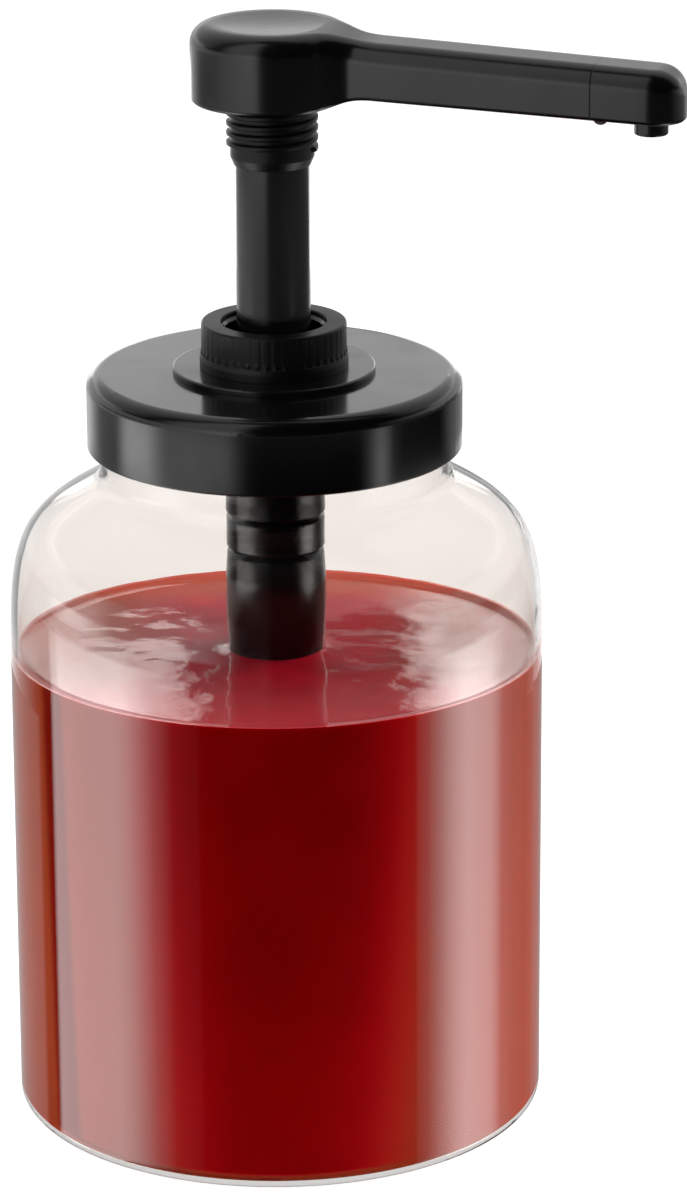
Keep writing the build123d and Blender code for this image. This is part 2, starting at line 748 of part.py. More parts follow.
with BuildPart() as head:
    with BuildSketch(Plane.XY.offset(head_bottom_z)) as plan:
        Circle(head_radius)
        with BuildLine():
            Polyline(
                (0, arm_half_width_at(0)),
                (seam_x, arm_half_width_at(seam_x)),
                (seam_x, -arm_half_width_at(seam_x)),
                (0, -arm_half_width_at(0)),
                close=True,
            )
        make_face()
        root_corners = plan.vertices().filter_by_position(Axis.X, head_radius / 2, head_radius)
        fillet(root_corners, arm_side_blend)
    extrude(amount=head_top_z - head_bottom_z)
    with BuildSketch(Plane.XZ):
        with BuildLine():
            Line((head_back_x, head_top_z), (arm_blend_start_x, head_top_z))
            Bezier(
                (arm_blend_start_x, head_top_z),
                (blend_middle_x, head_top_z),
                (blend_middle_x, arm_top_at(blend_middle_x)),
                (arm_blend_end_x, arm_top_at(arm_blend_end_x)),
            )
            Line((arm_blend_end_x, arm_top_at(arm_blend_end_x)), (seam_x, arm_top_at(seam_x)))
            Line((seam_x, arm_top_at(seam_x)), (seam_x, arm_bottom_at(seam_x)))
            Line((seam_x, arm_bottom_at(seam_x)), (arm_blend_end_x, arm_bottom_at(arm_blend_end_x)))
            Bezier(
                (arm_blend_end_x, arm_bottom_at(arm_blend_end_x)),
                (blend_middle_x, arm_bottom_at(blend_middle_x)),
                (blend_middle_x, head_bottom_z),
                (arm_blend_start_x, head_bottom_z),
            )
            Line((arm_blend_start_x, head_bottom_z), (head_back_x, head_bottom_z))
            Line((head_back_x, head_bottom_z), (head_back_x, head_top_z))
        make_face()
    extrude(amount=2 * head_radius, both=True, mode=Mode.INTERSECT)
    # The outline's long edges are those of its upright walls, apart from the end face's own.
    upright_walls = head.faces().filter_by(lambda face: abs(face.normal_at().Z) < match_tolerance)
    end_face = upright_walls.sort_by(Axis.X)[-1]
    outline_edges = (upright_walls.edges() - end_face.edges()).filter_by(
        lambda edge: abs((edge % 0.5).Z) < steepest_outline
    )
    fillet(outline_edges.filter_by(lambda edge: (edge @ 0.5).Z > channel_z), head_top_edge)
    lower_edges = head.edges().filter_by(
        lambda edge: (edge @ 0.5).Z < channel_z and edge in outline_edges
    )
    fillet(lower_edges, head_bottom_edge)
    # Dished top, stem socket, chamber above the stem and the channel to the spout tip.
    dish_sphere_radius = (dish_radius**2 + dish_depth**2) / (2 * dish_depth)
    with Locations((0, 0, head_top_z - dish_depth + dish_sphere_radius)):
        Sphere(dish_sphere_radius, rotation=(90, 0, 0), mode=Mode.SUBTRACT)
    disc(head_bottom_z, stem_top_z + swivel_play, stem_radius + seat_clearance, mode=Mode.SUBTRACT)
    chamber_top_z = channel_z + channel_radius + chamber_headroom
    disc(stem_top_z, chamber_top_z, stem_bore_radius, mode=Mode.SUBTRACT)
    with BuildSketch(Plane.YZ):
        with Locations((0, channel_z)):
            Circle(channel_radius)
    extrude(amount=seam_x, mode=Mode.SUBTRACT)
    with BuildSketch(Plane.YZ.offset(seam_x - tip_spigot_length - seam_gap)):
        with Locations((0, channel_z)):
            Circle(tip_spigot_radius + seat_clearance)
    extrude(amount=tip_spigot_length + seam_gap, mode=Mode.SUBTRACT)
head.part.label = "head"
export_step(head.part, "parts/head.step")

with BuildPart() as lock_sleeve:
    sleeve_bore_radius = stem_radius + seat_clearance
    turned(
        (sleeve_bore_radius, sleeve_bottom_z),
        (sleeve_nose_radius, sleeve_bottom_z),
        (sleeve_radius, sleeve_bottom_z + sleeve_cone_height),
        (sleeve_radius, head_bottom_z),
        (sleeve_bore_radius, head_bottom_z),
    )
    thread_rib(
        sleeve_radius,
        lock_crest_radius,
        lock_pitch,
        lock_male_turns,
        lock_male_bottom_z,
        lock_root_width,
        lock_crest_width,
    )
lock_sleeve.part.label = "lock_sleeve"
export_step(lock_sleeve.part, "parts/lock_sleeve.step")

# ---------------------------------------------------------------------------------------------
# Spout tip, plugged into the arm, with the nozzle and its latch bump
# ---------------------------------------------------------------------------------------------

tip_start_x = seam_x + seam_gap
arm_middle_z = (arm_top_z + arm_bottom_z) / 2
with BuildPart() as spout_tip:
    with BuildSketch(Plane.XY.offset(nozzle_bottom_z)) as tip_plan:
        with BuildLine():
            Polyline(
                (tip_start_x, arm_half_width_at(tip_start_x)),
                (tip_end_x, arm_half_width_at(tip_end_x)),
                (tip_end_x, -arm_half_width_at(tip_end_x)),
                (tip_start_x, -arm_half_width_at(tip_start_x)),
                close=True,
            )
        make_face()
        fillet(tip_plan.vertices().group_by(Axis.X)[-1], tip_corner)
    extrude(amount=head_top_z - nozzle_bottom_z)
    with BuildSketch(Plane.XZ) as tip_side:
        with BuildLine():
            Polyline(
                (tip_start_x, arm_bottom_at(tip_start_x)),
                (tip_end_x, arm_bottom_at(tip_end_x)),
                (tip_end_x, arm_top_at(tip_end_x)),
                (tip_start_x, arm_top_at(tip_start_x)),
                close=True,
            )
        make_face()
        end_corner = tip_side.vertices().sort_by_distance((tip_end_x, arm_top_at(tip_end_x)))[0]
        fillet(end_corner, tip_end_radius)
    extrude(amount=head_radius, both=True, mode=Mode.INTERSECT)
    # Long edges rounded as the arm's are, so that the two sections meet at the seam.
    tip_walls = spout_tip.faces().filter_by(lambda face: abs(face.normal_at().Z) < match_tolerance)
    tip_seam_face = tip_walls.sort_by(Axis.X)[0]
    tip_outline = (tip_walls.edges() - tip_seam_face.edges()).filter_by(
        lambda edge: abs((edge % 0.5).Z) < steepest_outline
    )
    fillet(tip_outline.filter_by(lambda edge: (edge @ 0.5).Z > arm_middle_z), head_top_edge)
    tip_lower_edges = spout_tip.edges().filter_by(
        lambda edge: (edge @ 0.5).Z < arm_middle_z
        and abs((edge % 0.5).Z) < steepest_outline
        and (edge @ 0.5).X > tip_start_x
    )
    fillet(tip_lower_edges, head_bottom_edge)
    with BuildSketch(Plane.XY.offset(nozzle_bottom_z)):
        with Locations((nozzle_x, 0)):
            Circle(nozzle_radius)
    extrude(amount=channel_z - nozzle_bottom_z)
    fillet(spout_tip.edges().group_by(Axis.Z)[0], nozzle_edge)
    with BuildSketch(Plane.XZ):
        with Locations((latch_x, arm_bottom_at(latch_x) - latch_drop + latch_radius)):
            Circle(latch_radius)
    extrude(amount=latch_width / 2, both=True)
    with BuildSketch(Plane.YZ.offset(tip_start_x - tip_spigot_length)):
        with Locations((0, channel_z)):
            Circle(tip_spigot_radius)
    extrude(amount=tip_spigot_length)
    with BuildSketch(Plane.YZ.offset(tip_start_x - tip_spigot_length)):
        with Locations((0, channel_z)):
            Circle(tip_channel_radius)
    extrude(amount=nozzle_x - tip_start_x + tip_spigot_length, mode=Mode.SUBTRACT)
    with BuildSketch(Plane.XY.offset(nozzle_bottom_z)):
        with Locations((nozzle_x, 0)):
            Circle(tip_channel_radius)
    extrude(amount=channel_z - nozzle_bottom_z, mode=Mode.SUBTRACT)
spout_tip.part.label = "spout_tip"
export_step(spout_tip.part, "parts/spout_tip.step")
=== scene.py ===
"""Dresses the syrup dispenser: clear jar of red syrup, black screw lid and black lock-down pump.

Metres, +Z up, origin at the centre of the jar's base, spout along +X.
"""

import logging
import math
from contextlib import contextmanager
from dataclasses import dataclass, field, replace
from enum import Enum
from typing import Callable, Iterator

import bmesh
import bpy
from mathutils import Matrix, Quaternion, Vector


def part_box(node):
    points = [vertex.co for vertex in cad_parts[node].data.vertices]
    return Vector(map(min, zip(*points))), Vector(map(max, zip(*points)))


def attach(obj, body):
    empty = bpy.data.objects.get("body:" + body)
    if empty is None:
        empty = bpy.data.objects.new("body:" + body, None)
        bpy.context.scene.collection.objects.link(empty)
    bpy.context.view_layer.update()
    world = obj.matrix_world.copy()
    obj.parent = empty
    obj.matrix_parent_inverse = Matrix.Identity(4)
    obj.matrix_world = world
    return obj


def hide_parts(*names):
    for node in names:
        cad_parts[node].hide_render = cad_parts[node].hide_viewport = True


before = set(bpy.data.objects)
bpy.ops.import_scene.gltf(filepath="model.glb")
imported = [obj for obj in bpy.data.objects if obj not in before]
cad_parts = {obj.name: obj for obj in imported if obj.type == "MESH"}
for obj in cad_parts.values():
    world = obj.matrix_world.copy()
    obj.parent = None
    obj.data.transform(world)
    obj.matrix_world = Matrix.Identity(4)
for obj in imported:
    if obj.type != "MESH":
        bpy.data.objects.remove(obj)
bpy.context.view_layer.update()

NODES: dict[str, bpy.types.Object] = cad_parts
MM = 0.001
log = logging.getLogger("syrup_dispenser")

Colour = tuple[float, float, float]
Span = tuple[float, float]
Stops = tuple[tuple[float, float], ...]
Socket = bpy.types.NodeSocket


class Slot(Enum):
    """The material slots of the part's record."""

    CLEAR = "clear_plastic"
    SYRUP = "red_syrup"
    LID = "black_lid_plastic"
    PUMP = "black_pump_plastic"
    LINER = "white_liner"
    SEAL = "black_seal"
    NATURAL = "natural_plastic"
    SPRING = "spring_steel"


# ------------------------------------------------------------
# Modelling helpers
# ------------------------------------------------------------


@contextmanager
def editing(piece: bpy.types.Object) -> Iterator[None]:
    """Opens one piece alone in edit mode, with nothing on it selected, and closes it again.

    Args:
        piece: The mesh object to edit.
    """
    bpy.ops.object.select_all(action="DESELECT")
    bpy.context.view_layer.objects.active = piece
    piece.select_set(True)
    bpy.ops.object.mode_set(mode="EDIT")
    bpy.ops.mesh.select_all(action="DESELECT")
    yield
    bpy.ops.object.mode_set(mode="OBJECT")


def pick_vertices(piece: bpy.types.Object, test: Callable[[Vector], bool]) -> None:
    """Selects the vertices of the piece in edit mode whose place passes the test.

    Args:
        piece: The mesh object being edited.
        test: Says whether a vertex at this place is picked.
    """
    bpy.ops.mesh.select_mode(type="VERT")
    bpy.ops.mesh.select_all(action="DESELECT")
    mesh = bmesh.from_edit_mesh(piece.data)
    for vertex in mesh.verts:
        vertex.select_set(test(vertex.co))
    mesh.select_flush(True)
    bmesh.update_edit_mesh(piece.data)


def apply_modifiers(piece: bpy.types.Object) -> None:
    """Applies every modifier of a piece, in order."""
    bpy.ops.object.select_all(action="DESELECT")
    bpy.context.view_layer.objects.active = piece
    piece.select_set(True)
    for name in [modifier.name for modifier in piece.modifiers]:
        bpy.ops.object.modifier_apply(modifier=name)


def clamp(value: float) -> float:
    """Keeps a value between 0 and 1."""
    return min(max(value, 0.0), 1.0)


def add_plane(name: str, size: float, height: float = 0.0) -> bpy.types.Object:
    """Adds a level square about the axis.

    Args:
        name: The new object's name.
        size: The length of its sides.
        height: How high it lies.

    Returns:
        The square.
    """
    bpy.ops.object.select_all(action="DESELECT")
    bpy.ops.mesh.primitive_plane_add(size=size, location=(0, 0, height))
    plane = bpy.context.active_object
    plane.name = plane.data.name = name
    return plane


def add_cylinder(name: str, radius: float, heights: Span, sides: int, ends: str) -> bpy.types.Object:
    """Adds an upright cylinder about the axis, with its own origin at the part's.

    Args:
        name: The new object's name.
        radius: Its radius.
        heights: The heights of its lower and its upper end.
        sides: How many sides stand for the round.
        ends: How its ends are filled, as the operator names it.

    Returns:
        The cylinder.
    """
    low, high = heights
    bpy.ops.object.select_all(action="DESELECT")
    bpy.ops.mesh.primitive_cylinder_add(
        vertices=sides,
        radius=radius,
        depth=high - low,
        end_fill_type=ends,
        location=(0, 0, (low + high) / 2),
    )
    cylinder = bpy.context.active_object
    cylinder.name = cylinder.data.name = name
    bpy.ops.object.transform_apply(location=True, rotation=False, scale=False)
    return cylinder


# ------------------------------------------------------------
# Shader groups
# ------------------------------------------------------------


class Sheet:
    """A node tree being laid out, with short calls for adding and joining its nodes."""

    def __init__(self, tree: bpy.types.NodeTree) -> None:
        """Starts on an empty tree.

        Args:
            tree: The node tree of a material, a world or a group.
        """
        self.tree = tree
        self.tree.nodes.clear()
        self.count = 0

    def add(self, kind: str, **settings: object) -> bpy.types.Node:
        """Adds a node.

        Args:
            kind: The node's type name.
            settings: Node properties, or input values by socket name with spaces as underscores.

        Returns:
            The new node.
        """
        node = self.tree.nodes.new(kind)
        node.location = (200 * (self.count % 12), -260 * (self.count // 12))
        self.count += 1
        sockets = {socket.name.lower().replace(" ", "_"): socket for socket in reversed(node.inputs)}
        for name, value in settings.items():
            if name in sockets:
                self.feed(sockets[name], value)
            else:
                setattr(node, name, value)
        return node

    def feed(self, socket: Socket, value: object) -> None:
        """Joins an output to a socket, or sets the socket to a plain value."""
        if isinstance(value, Socket):
            self.tree.links.new(value, socket)
        else:
            socket.default_value = value

    def math(self, operation: str, *values: object, clamp: bool = False) -> Socket:
        """Adds a Math node.

        Args:
            operation: The node's operation.
            values: Up to three outputs or numbers.
            clamp: Whether the result stays between 0 and 1.

        Returns:
            The node's output.
        """
        node = self.add("ShaderNodeMath", operation=operation, use_clamp=clamp)
        for socket, value in zip(node.inputs, values):
            self.feed(socket, value)
        return node.outputs[0]

    def ramp(self, value: object, span: Span, results: Span = (0.0, 1.0)) -> Socket:
        """Maps a value smoothly from one range to another.

        Args:
            value: The output to map.
            span: The values at which the results are reached.
            results: The result at each end of the span, which also holds beyond it.

        Returns:
            The mapped output.
        """
        node = self.add("ShaderNodeMapRange", interpolation_type="SMOOTHSTEP")
        for socket, number in zip(node.inputs, (value, *span, *results)):
            self.feed(socket, number)
        return node.outputs[0]

    def dot(self, first: object, second: object) -> Socket:
        """Adds the dot product of two vectors and returns its output."""
        node = self.add("ShaderNodeVectorMath", operation="DOT_PRODUCT")
        for socket, value in zip(node.inputs, (first, second)):
            self.feed(socket, value)
        return node.outputs["Value"]

    def axis(self, vector: object, name: str) -> Socket:
        """Returns one component of a vector, by the name of its axis."""
        return self.add("ShaderNodeSeparateXYZ", vector=vector).outputs[name]

    def place(self) -> Socket:
        """Returns the place on the piece, in the piece's own coordinates."""
        return self.add("ShaderNodeTexCoord").outputs["Object"]

    def normal(self) -> Socket:
        """Returns the true direction that the surface faces."""
        return self.add("ShaderNodeNewGeometry").outputs["Normal"]

    def bump(self, distance: float, height: Socket, strength: float = 1.0) -> bpy.types.Node:
        """Adds a bump over a height, whose Normal output bends the surface."""
        return self.add("ShaderNodeBump", strength=strength, distance=distance, height=height)

    def rounded(self, radius: object) -> Socket:
        """Returns the direction that the surface would face with its edges rounded."""
        return self.add("ShaderNodeBevel", samples=4, radius=radius).outputs["Normal"]

    def noise(self, scale: object, detail: float = 2.0, distortion: float = 0.0) -> Socket:
        """Adds a noise over the piece.

        Args:
            scale: Its scale, per metre.
            detail: Its detail.
            distortion: How far it is warped.

        Returns:
            The noise, from 0 to 1.
        """
        node = self.add(
            "ShaderNodeTexNoise", vector=self.place(), scale=scale, detail=detail, distortion=distortion
        )
        return node.outputs["Fac"]

    def blend(self, amount: object, first: object, second: object) -> Socket:
        """Mixes two colours.

        Args:
            amount: How much of the second colour shows.
            first: The colour at 0.
            second: The colour at 1.

        Returns:
            The mixed colour.
        """
        node = self.add("ShaderNodeMix", data_type="RGBA")
        for name, value in (("Factor_Float", amount), ("A_Color", first), ("B_Color", second)):
            socket = next(one for one in node.inputs if one.identifier == name)
            self.feed(socket, value)
        return next(one for one in node.outputs if one.identifier == "Result_Color")

    def mix(self, amount: object, first: Socket, second: Socket) -> Socket:
        """Mixes two shaders.

        Args:
            amount: How much of the second shader shows.
            first: The shader at 0.
            second: The shader at 1.

        Returns:
            The mixed shader.
        """
        node = self.add("ShaderNodeMixShader")
        for socket, value in zip(node.inputs, (amount, first, second)):
            self.feed(socket, value)
        return node.outputs[0]

    def finish(self, shader: Socket) -> None:
        """Joins a shader to the material's output."""
        self.add("ShaderNodeOutputMaterial", surface=shader)


class Effect:
    """A shader node group that several finishes share, built once."""

    NAME = ""
    INPUTS: dict[str, float] = {}
    OUTPUTS: tuple[str, ...] = ()

    def __init__(self) -> None:
        """Makes the group with its named sockets and lays out its nodes."""
        self.group = bpy.data.node_groups.new(self.NAME, "ShaderNodeTree")
        for name, value in self.INPUTS.items():
            socket = self.group.interface.new_socket(name, in_out="INPUT", socket_type="NodeSocketFloat")
            socket.default_value = value
        for name in self.OUTPUTS:
            self.group.interface.new_socket(name, in_out="OUTPUT", socket_type="NodeSocketFloat")
        sheet = Sheet(self.group)
        start = sheet.add("NodeGroupInput")
        end = sheet.add("NodeGroupOutput")
        made = self.lay_out(sheet, {name: start.outputs[name] for name in self.INPUTS})
        for name, value in made.items():
            sheet.feed(end.inputs[name], value)

    def lay_out(self, sheet: Sheet, values: dict[str, Socket]) -> dict[str, Socket]:
        """Lays out the group's nodes; each effect has its own.

        Args:
            sheet: The group's tree.
            values: The group's inputs by name.

        Returns:
            What each named output is fed from.
        """
        raise NotImplementedError

    def use(self, sheet: Sheet, **values: object) -> dict[str, Socket]:
        """Puts the group into a material.

        Args:
            sheet: The material's tree.
            values: Values of its inputs, with spaces as underscores.

        Returns:
            Its outputs by name.
        """
        node = sheet.add("ShaderNodeGroup", node_tree=self.group)
        for name, value in values.items():
            sheet.feed(node.inputs[name.replace("_", " ")], value)
        return {socket.name: socket for socket in node.outputs}


class MouldGrain(Effect):
    """The fine texture a moulding takes from its tool, over slow waves of uneven cooling."""

    NAME = "mould_grain"
    INPUTS = {"Grain Scale": 2500.0, "Wave Scale": 60.0, "Wave Share": 0.5}
    OUTPUTS = ("Height", "Waves")

    def lay_out(self, sheet: Sheet, values: dict[str, Socket]) -> dict[str, Socket]:
        """Adds fine noise and slow noise into one height."""
        grain = sheet.noise(values["Grain Scale"], detail=3.0)
        waves = sheet.noise(values["Wave Scale"], detail=1.0)
        share = values["Wave Share"]
        fine = sheet.math("MULTIPLY", grain, sheet.math("SUBTRACT", 1.0, share))
        slow = sheet.math("MULTIPLY", waves, share)
        return {"Height": sheet.math("ADD", fine, slow), "Waves": waves}


class EdgeWear(Effect):
    """A mask of rubbed edges, broken up along their length."""

    NAME = "edge_wear"
    INPUTS = {"Width": 0.0005, "Breakup Scale": 240.0}
    OUTPUTS = ("Mask",)

    def lay_out(self, sheet: Sheet, values: dict[str, Socket]) -> dict[str, Socket]:
        """Compares a rounded normal with the true one, which differ near edges only."""
        edge = sheet.ramp(sheet.dot(sheet.rounded(values["Width"]), sheet.normal()), (0.985, 0.80))
        breakup = sheet.ramp(sheet.noise(values["Breakup Scale"], detail=4.0), (0.38, 0.66))
        return {"Mask": sheet.math("MULTIPLY", edge, breakup, clamp=True)}


class Smudges(Effect):
    """Blotches where a surface has been handled or wiped, as a value from 0 to 1."""

    NAME = "smudges"
    INPUTS = {"Scale": 45.0, "Streak Scale": 320.0}
    OUTPUTS = ("Value",)

    def lay_out(self, sheet: Sheet, values: dict[str, Socket]) -> dict[str, Socket]:
        """Multiplies soft blotches by finer, warped streaks."""
        blotches = sheet.ramp(sheet.noise(values["Scale"], detail=3.0, distortion=0.6), (0.35, 0.70))
        streaks = sheet.noise(values["Streak Scale"], detail=2.0, distortion=1.5)
        streaks = sheet.ramp(streaks, (0.25, 0.75), (0.6, 1.0))
        return {"Value": sheet.math("MULTIPLY", blotches, streaks, clamp=True)}


class Dust(Effect):
    """A mask of fine dust that has settled on faces that look up."""

    NAME = "dust"
    INPUTS = {"Scale": 900.0, "Cover": 0.35}
    OUTPUTS = ("Mask",)

    def lay_out(self, sheet: Sheet, values: dict[str, Socket]) -> dict[str, Socket]:
        """Keeps the peaks of a fine noise, on upward faces only."""
        up = sheet.ramp(sheet.axis(sheet.normal(), "Z"), (0.55, 0.95))
        specks = sheet.noise(values["Scale"], detail=4.0)
        floor = sheet.math("SUBTRACT", 0.80, sheet.math("MULTIPLY", values["Cover"], 0.35))
        kept = sheet.math("MULTIPLY", sheet.math("SUBTRACT", specks, floor), 9.0, clamp=True)
        return {"Mask": sheet.math("MULTIPLY", kept, up, clamp=True)}


@dataclass(frozen=True)
class Effects:
    """The shared effects, one group each."""

    grain: MouldGrain = field(default_factory=MouldGrain)
    wear: EdgeWear = field(default_factory=EdgeWear)
    smudges: Smudges = field(default_factory=Smudges)
    dust: Dust = field(default_factory=Dust)


# ------------------------------------------------------------
# Viewpoint
# ------------------------------------------------------------


@dataclass(frozen=True)
class ViewPoint:
    """Where the camera stands, as a turn about the dispenser's axis."""

    turn: float = math.radians(17.76)
    reach: float = 1.17742
    height: float = 0.51171
    aim_turn: float = -0.0133
    tilt: float = math.radians(90 - 18.31)
    roll: float = -0.0046
    lens: float = 159.73
    sensor_width: float = 36.0
    clipping: Span = (0.05, 50.0)

    def direction(self, azimuth: float) -> Vector:
        """Returns a level direction from the axis.

        Args:
            azimuth: Turn from the camera's own direction, in degrees, towards its left.

        Returns:
            The unit vector.
        """
        angle = self.turn - math.radians(azimuth)
        return Vector((math.sin(angle), -math.cos(angle), 0))

    def build(self) -> None:
        """Makes the camera."""
        camera = bpy.data.objects.new("camera", bpy.data.cameras.new("camera"))
        bpy.context.scene.collection.objects.link(camera)
        camera.data.lens = self.lens
        camera.data.sensor_width = self.sensor_width
        camera.data.clip_start, camera.data.clip_end = self.clipping
        camera.location = self.direction(0) * self.reach + Vector((0, 0, self.height))
        camera.rotation_mode = "QUATERNION"
        heading_turn = Quaternion((0, 0, 1), self.turn + self.aim_turn)
        tilt = Quaternion((1, 0, 0), self.tilt)
        roll = Quaternion((0, 0, 1), self.roll)
        camera.rotation_quaternion = heading_turn @ tilt @ roll
        bpy.context.scene.camera = camera


# ------------------------------------------------------------
# Finishes
# ------------------------------------------------------------


MIDDLE_OF_WAVES: Span = (0.3, 0.7)


def rgba(colour: Colour, share: float = 1.0) -> tuple[float, ...]:
    """Returns a colour as a socket takes it, dimmed to a share of itself."""
    return (*(share * part for part in colour), 1)


def new_material(name: str) -> tuple[bpy.types.Material, Sheet]:
    """Makes an empty node material.

    Args:
        name: The material's name.

    Returns:
        The material and the sheet of its node tree.
    """
    material = bpy.data.materials.new(name)
    material.use_nodes = True
    return material, Sheet(material.node_tree)


@dataclass(frozen=True)
class Finish:
    """How a piece looks; each kind of finish lays out its own nodes."""

    name: str

    def make(self, effects: Effects) -> bpy.types.Material:
        """Builds the material.

        Args:
            effects: The shared groups.

        Returns:
            The finished material.
        """
        material, sheet = new_material(self.name)
        sheet.finish(self.lay_out(sheet, effects))
        return material

    def lay_out(self, sheet: Sheet, effects: Effects) -> Socket:
        """Lays out the material's nodes.

        Args:
            sheet: The material's tree.
            effects: The shared groups.

        Returns:
            The shader.
        """
        raise NotImplementedError


@dataclass(frozen=True)
class Moulded(Finish):
    """An opaque moulded plastic or rubber.

    Its roughness runs from where it is untouched to where it is handled most.
    """

    colour: Colour
    rubbed_colour: Colour
    roughness: Span
    grain_scale: float
    grain_depth: float
    wave_share: float = 0.5
    wave_shade: float = 0.8
    wave_cover: float = 0.35
    edge_width: float = 0.35 * MM
    wear_cover: float = 0.6
    dust_cover: float = 0.2
    dust_colour: Colour = (0.45, 0.43, 0.40)
    dust_tint: float = 0.10
    dust_roughness: float = 0.12
    ior: float = 1.5
    gleam: float = 0.5
    subsurface: float = 0.0
    subsurface_radius: float = 2.0 * MM

    def lay_out(self, sheet: Sheet, effects: Effects) -> Socket:
        """Joins grain, worn edges, smudges and dust in one opaque shader."""
        grain = effects.grain.use(sheet, Grain_Scale=self.grain_scale, Wave_Share=self.wave_share)
        worn = effects.wear.use(sheet, Width=self.edge_width)["Mask"]
        smudge = effects.smudges.use(sheet)["Value"]
        dust = effects.dust.use(sheet, Cover=self.dust_cover)["Mask"]
        tone = sheet.ramp(grain["Waves"], MIDDLE_OF_WAVES, (0.0, self.wave_cover))
        colour = sheet.blend(tone, rgba(self.colour), rgba(self.colour, self.wave_shade))
        rubbed = sheet.math("MULTIPLY", worn, self.wear_cover)
        colour = sheet.blend(rubbed, colour, rgba(self.rubbed_colour))
        dusty = sheet.math("MULTIPLY", dust, self.dust_tint)
        colour = sheet.blend(dusty, colour, rgba(self.dust_colour))
        roughness = sheet.ramp(smudge, (0.0, 1.0), self.roughness)
        dulled = sheet.math("MULTIPLY", dust, self.dust_roughness)
        roughness = sheet.math("ADD", roughness, dulled, clamp=True)
        bump = sheet.bump(self.grain_depth, grain["Height"])
        sheet.feed(bump.inputs["Normal"], sheet.rounded(self.edge_width))
        shader = sheet.add(
            "ShaderNodeBsdfPrincipled",
            base_color=colour,
            roughness=roughness,
            ior=self.ior,
            specular_ior_level=self.gleam,
            subsurface_weight=self.subsurface,
            subsurface_scale=1.0,
            subsurface_radius=(self.subsurface_radius,) * 3,
            normal=bump.outputs["Normal"],
        )
        return shader.outputs["BSDF"]


@dataclass(frozen=True)
class ClearPlastic(Finish):
    """Clear, faintly warm thin-walled plastic: it hardly bends the view, and its faces reflect.

    Bend and gloss are the refractive indices of its body and of its coat. The coat thins over the
    heights given as bloom, towards the shoulder.
    """

    tint: Colour
    bend: float
    gloss: float
    haze: float
    wave_depth: float
    bloom: Span = (113.0 * MM, 126.0 * MM)
    coat: Span = (1.0, 0.5)
    ripple_scale: float = 90.0
    wave_scale: float = 14.0
    wave_share: float = 0.85
    wave_dimming: float = 0.99
    smudge_scale: float = 30.0

    def lay_out(self, sheet: Sheet, effects: Effects) -> Socket:
        """Joins a clear body, a rippled coat and tinted air for the rays that only carry light."""
        grain = effects.grain.use(
            sheet, Grain_Scale=self.ripple_scale, Wave_Scale=self.wave_scale, Wave_Share=self.wave_share
        )
        smudge = effects.smudges.use(sheet, Scale=self.smudge_scale)["Value"]
        bump = sheet.bump(self.wave_depth, grain["Height"])
        waves = sheet.ramp(grain["Waves"], MIDDLE_OF_WAVES)
        shader = sheet.add(
            "ShaderNodeBsdfPrincipled",
            base_color=sheet.blend(waves, rgba(self.tint), rgba(self.tint, self.wave_dimming)),
            roughness=0.0,
            ior=self.bend,
            transmission_weight=1.0,
            coat_weight=sheet.ramp(sheet.axis(sheet.place(), "Z"), self.bloom, self.coat),
            coat_ior=self.gloss,
            coat_roughness=sheet.math("MULTIPLY", smudge, self.haze),
        )
        sheet.feed(shader.inputs["Coat Normal"], bump.outputs["Normal"])
        tinted_air = sheet.add("ShaderNodeBsdfTransparent", color=rgba(self.tint))
        path = sheet.add("ShaderNodeLightPath")
        lighting = sheet.math("MAXIMUM", path.outputs["Is Shadow Ray"], path.outputs["Is Diffuse Ray"])
        return sheet.mix(lighting, shader.outputs["BSDF"], tinted_air.outputs["BSDF"])


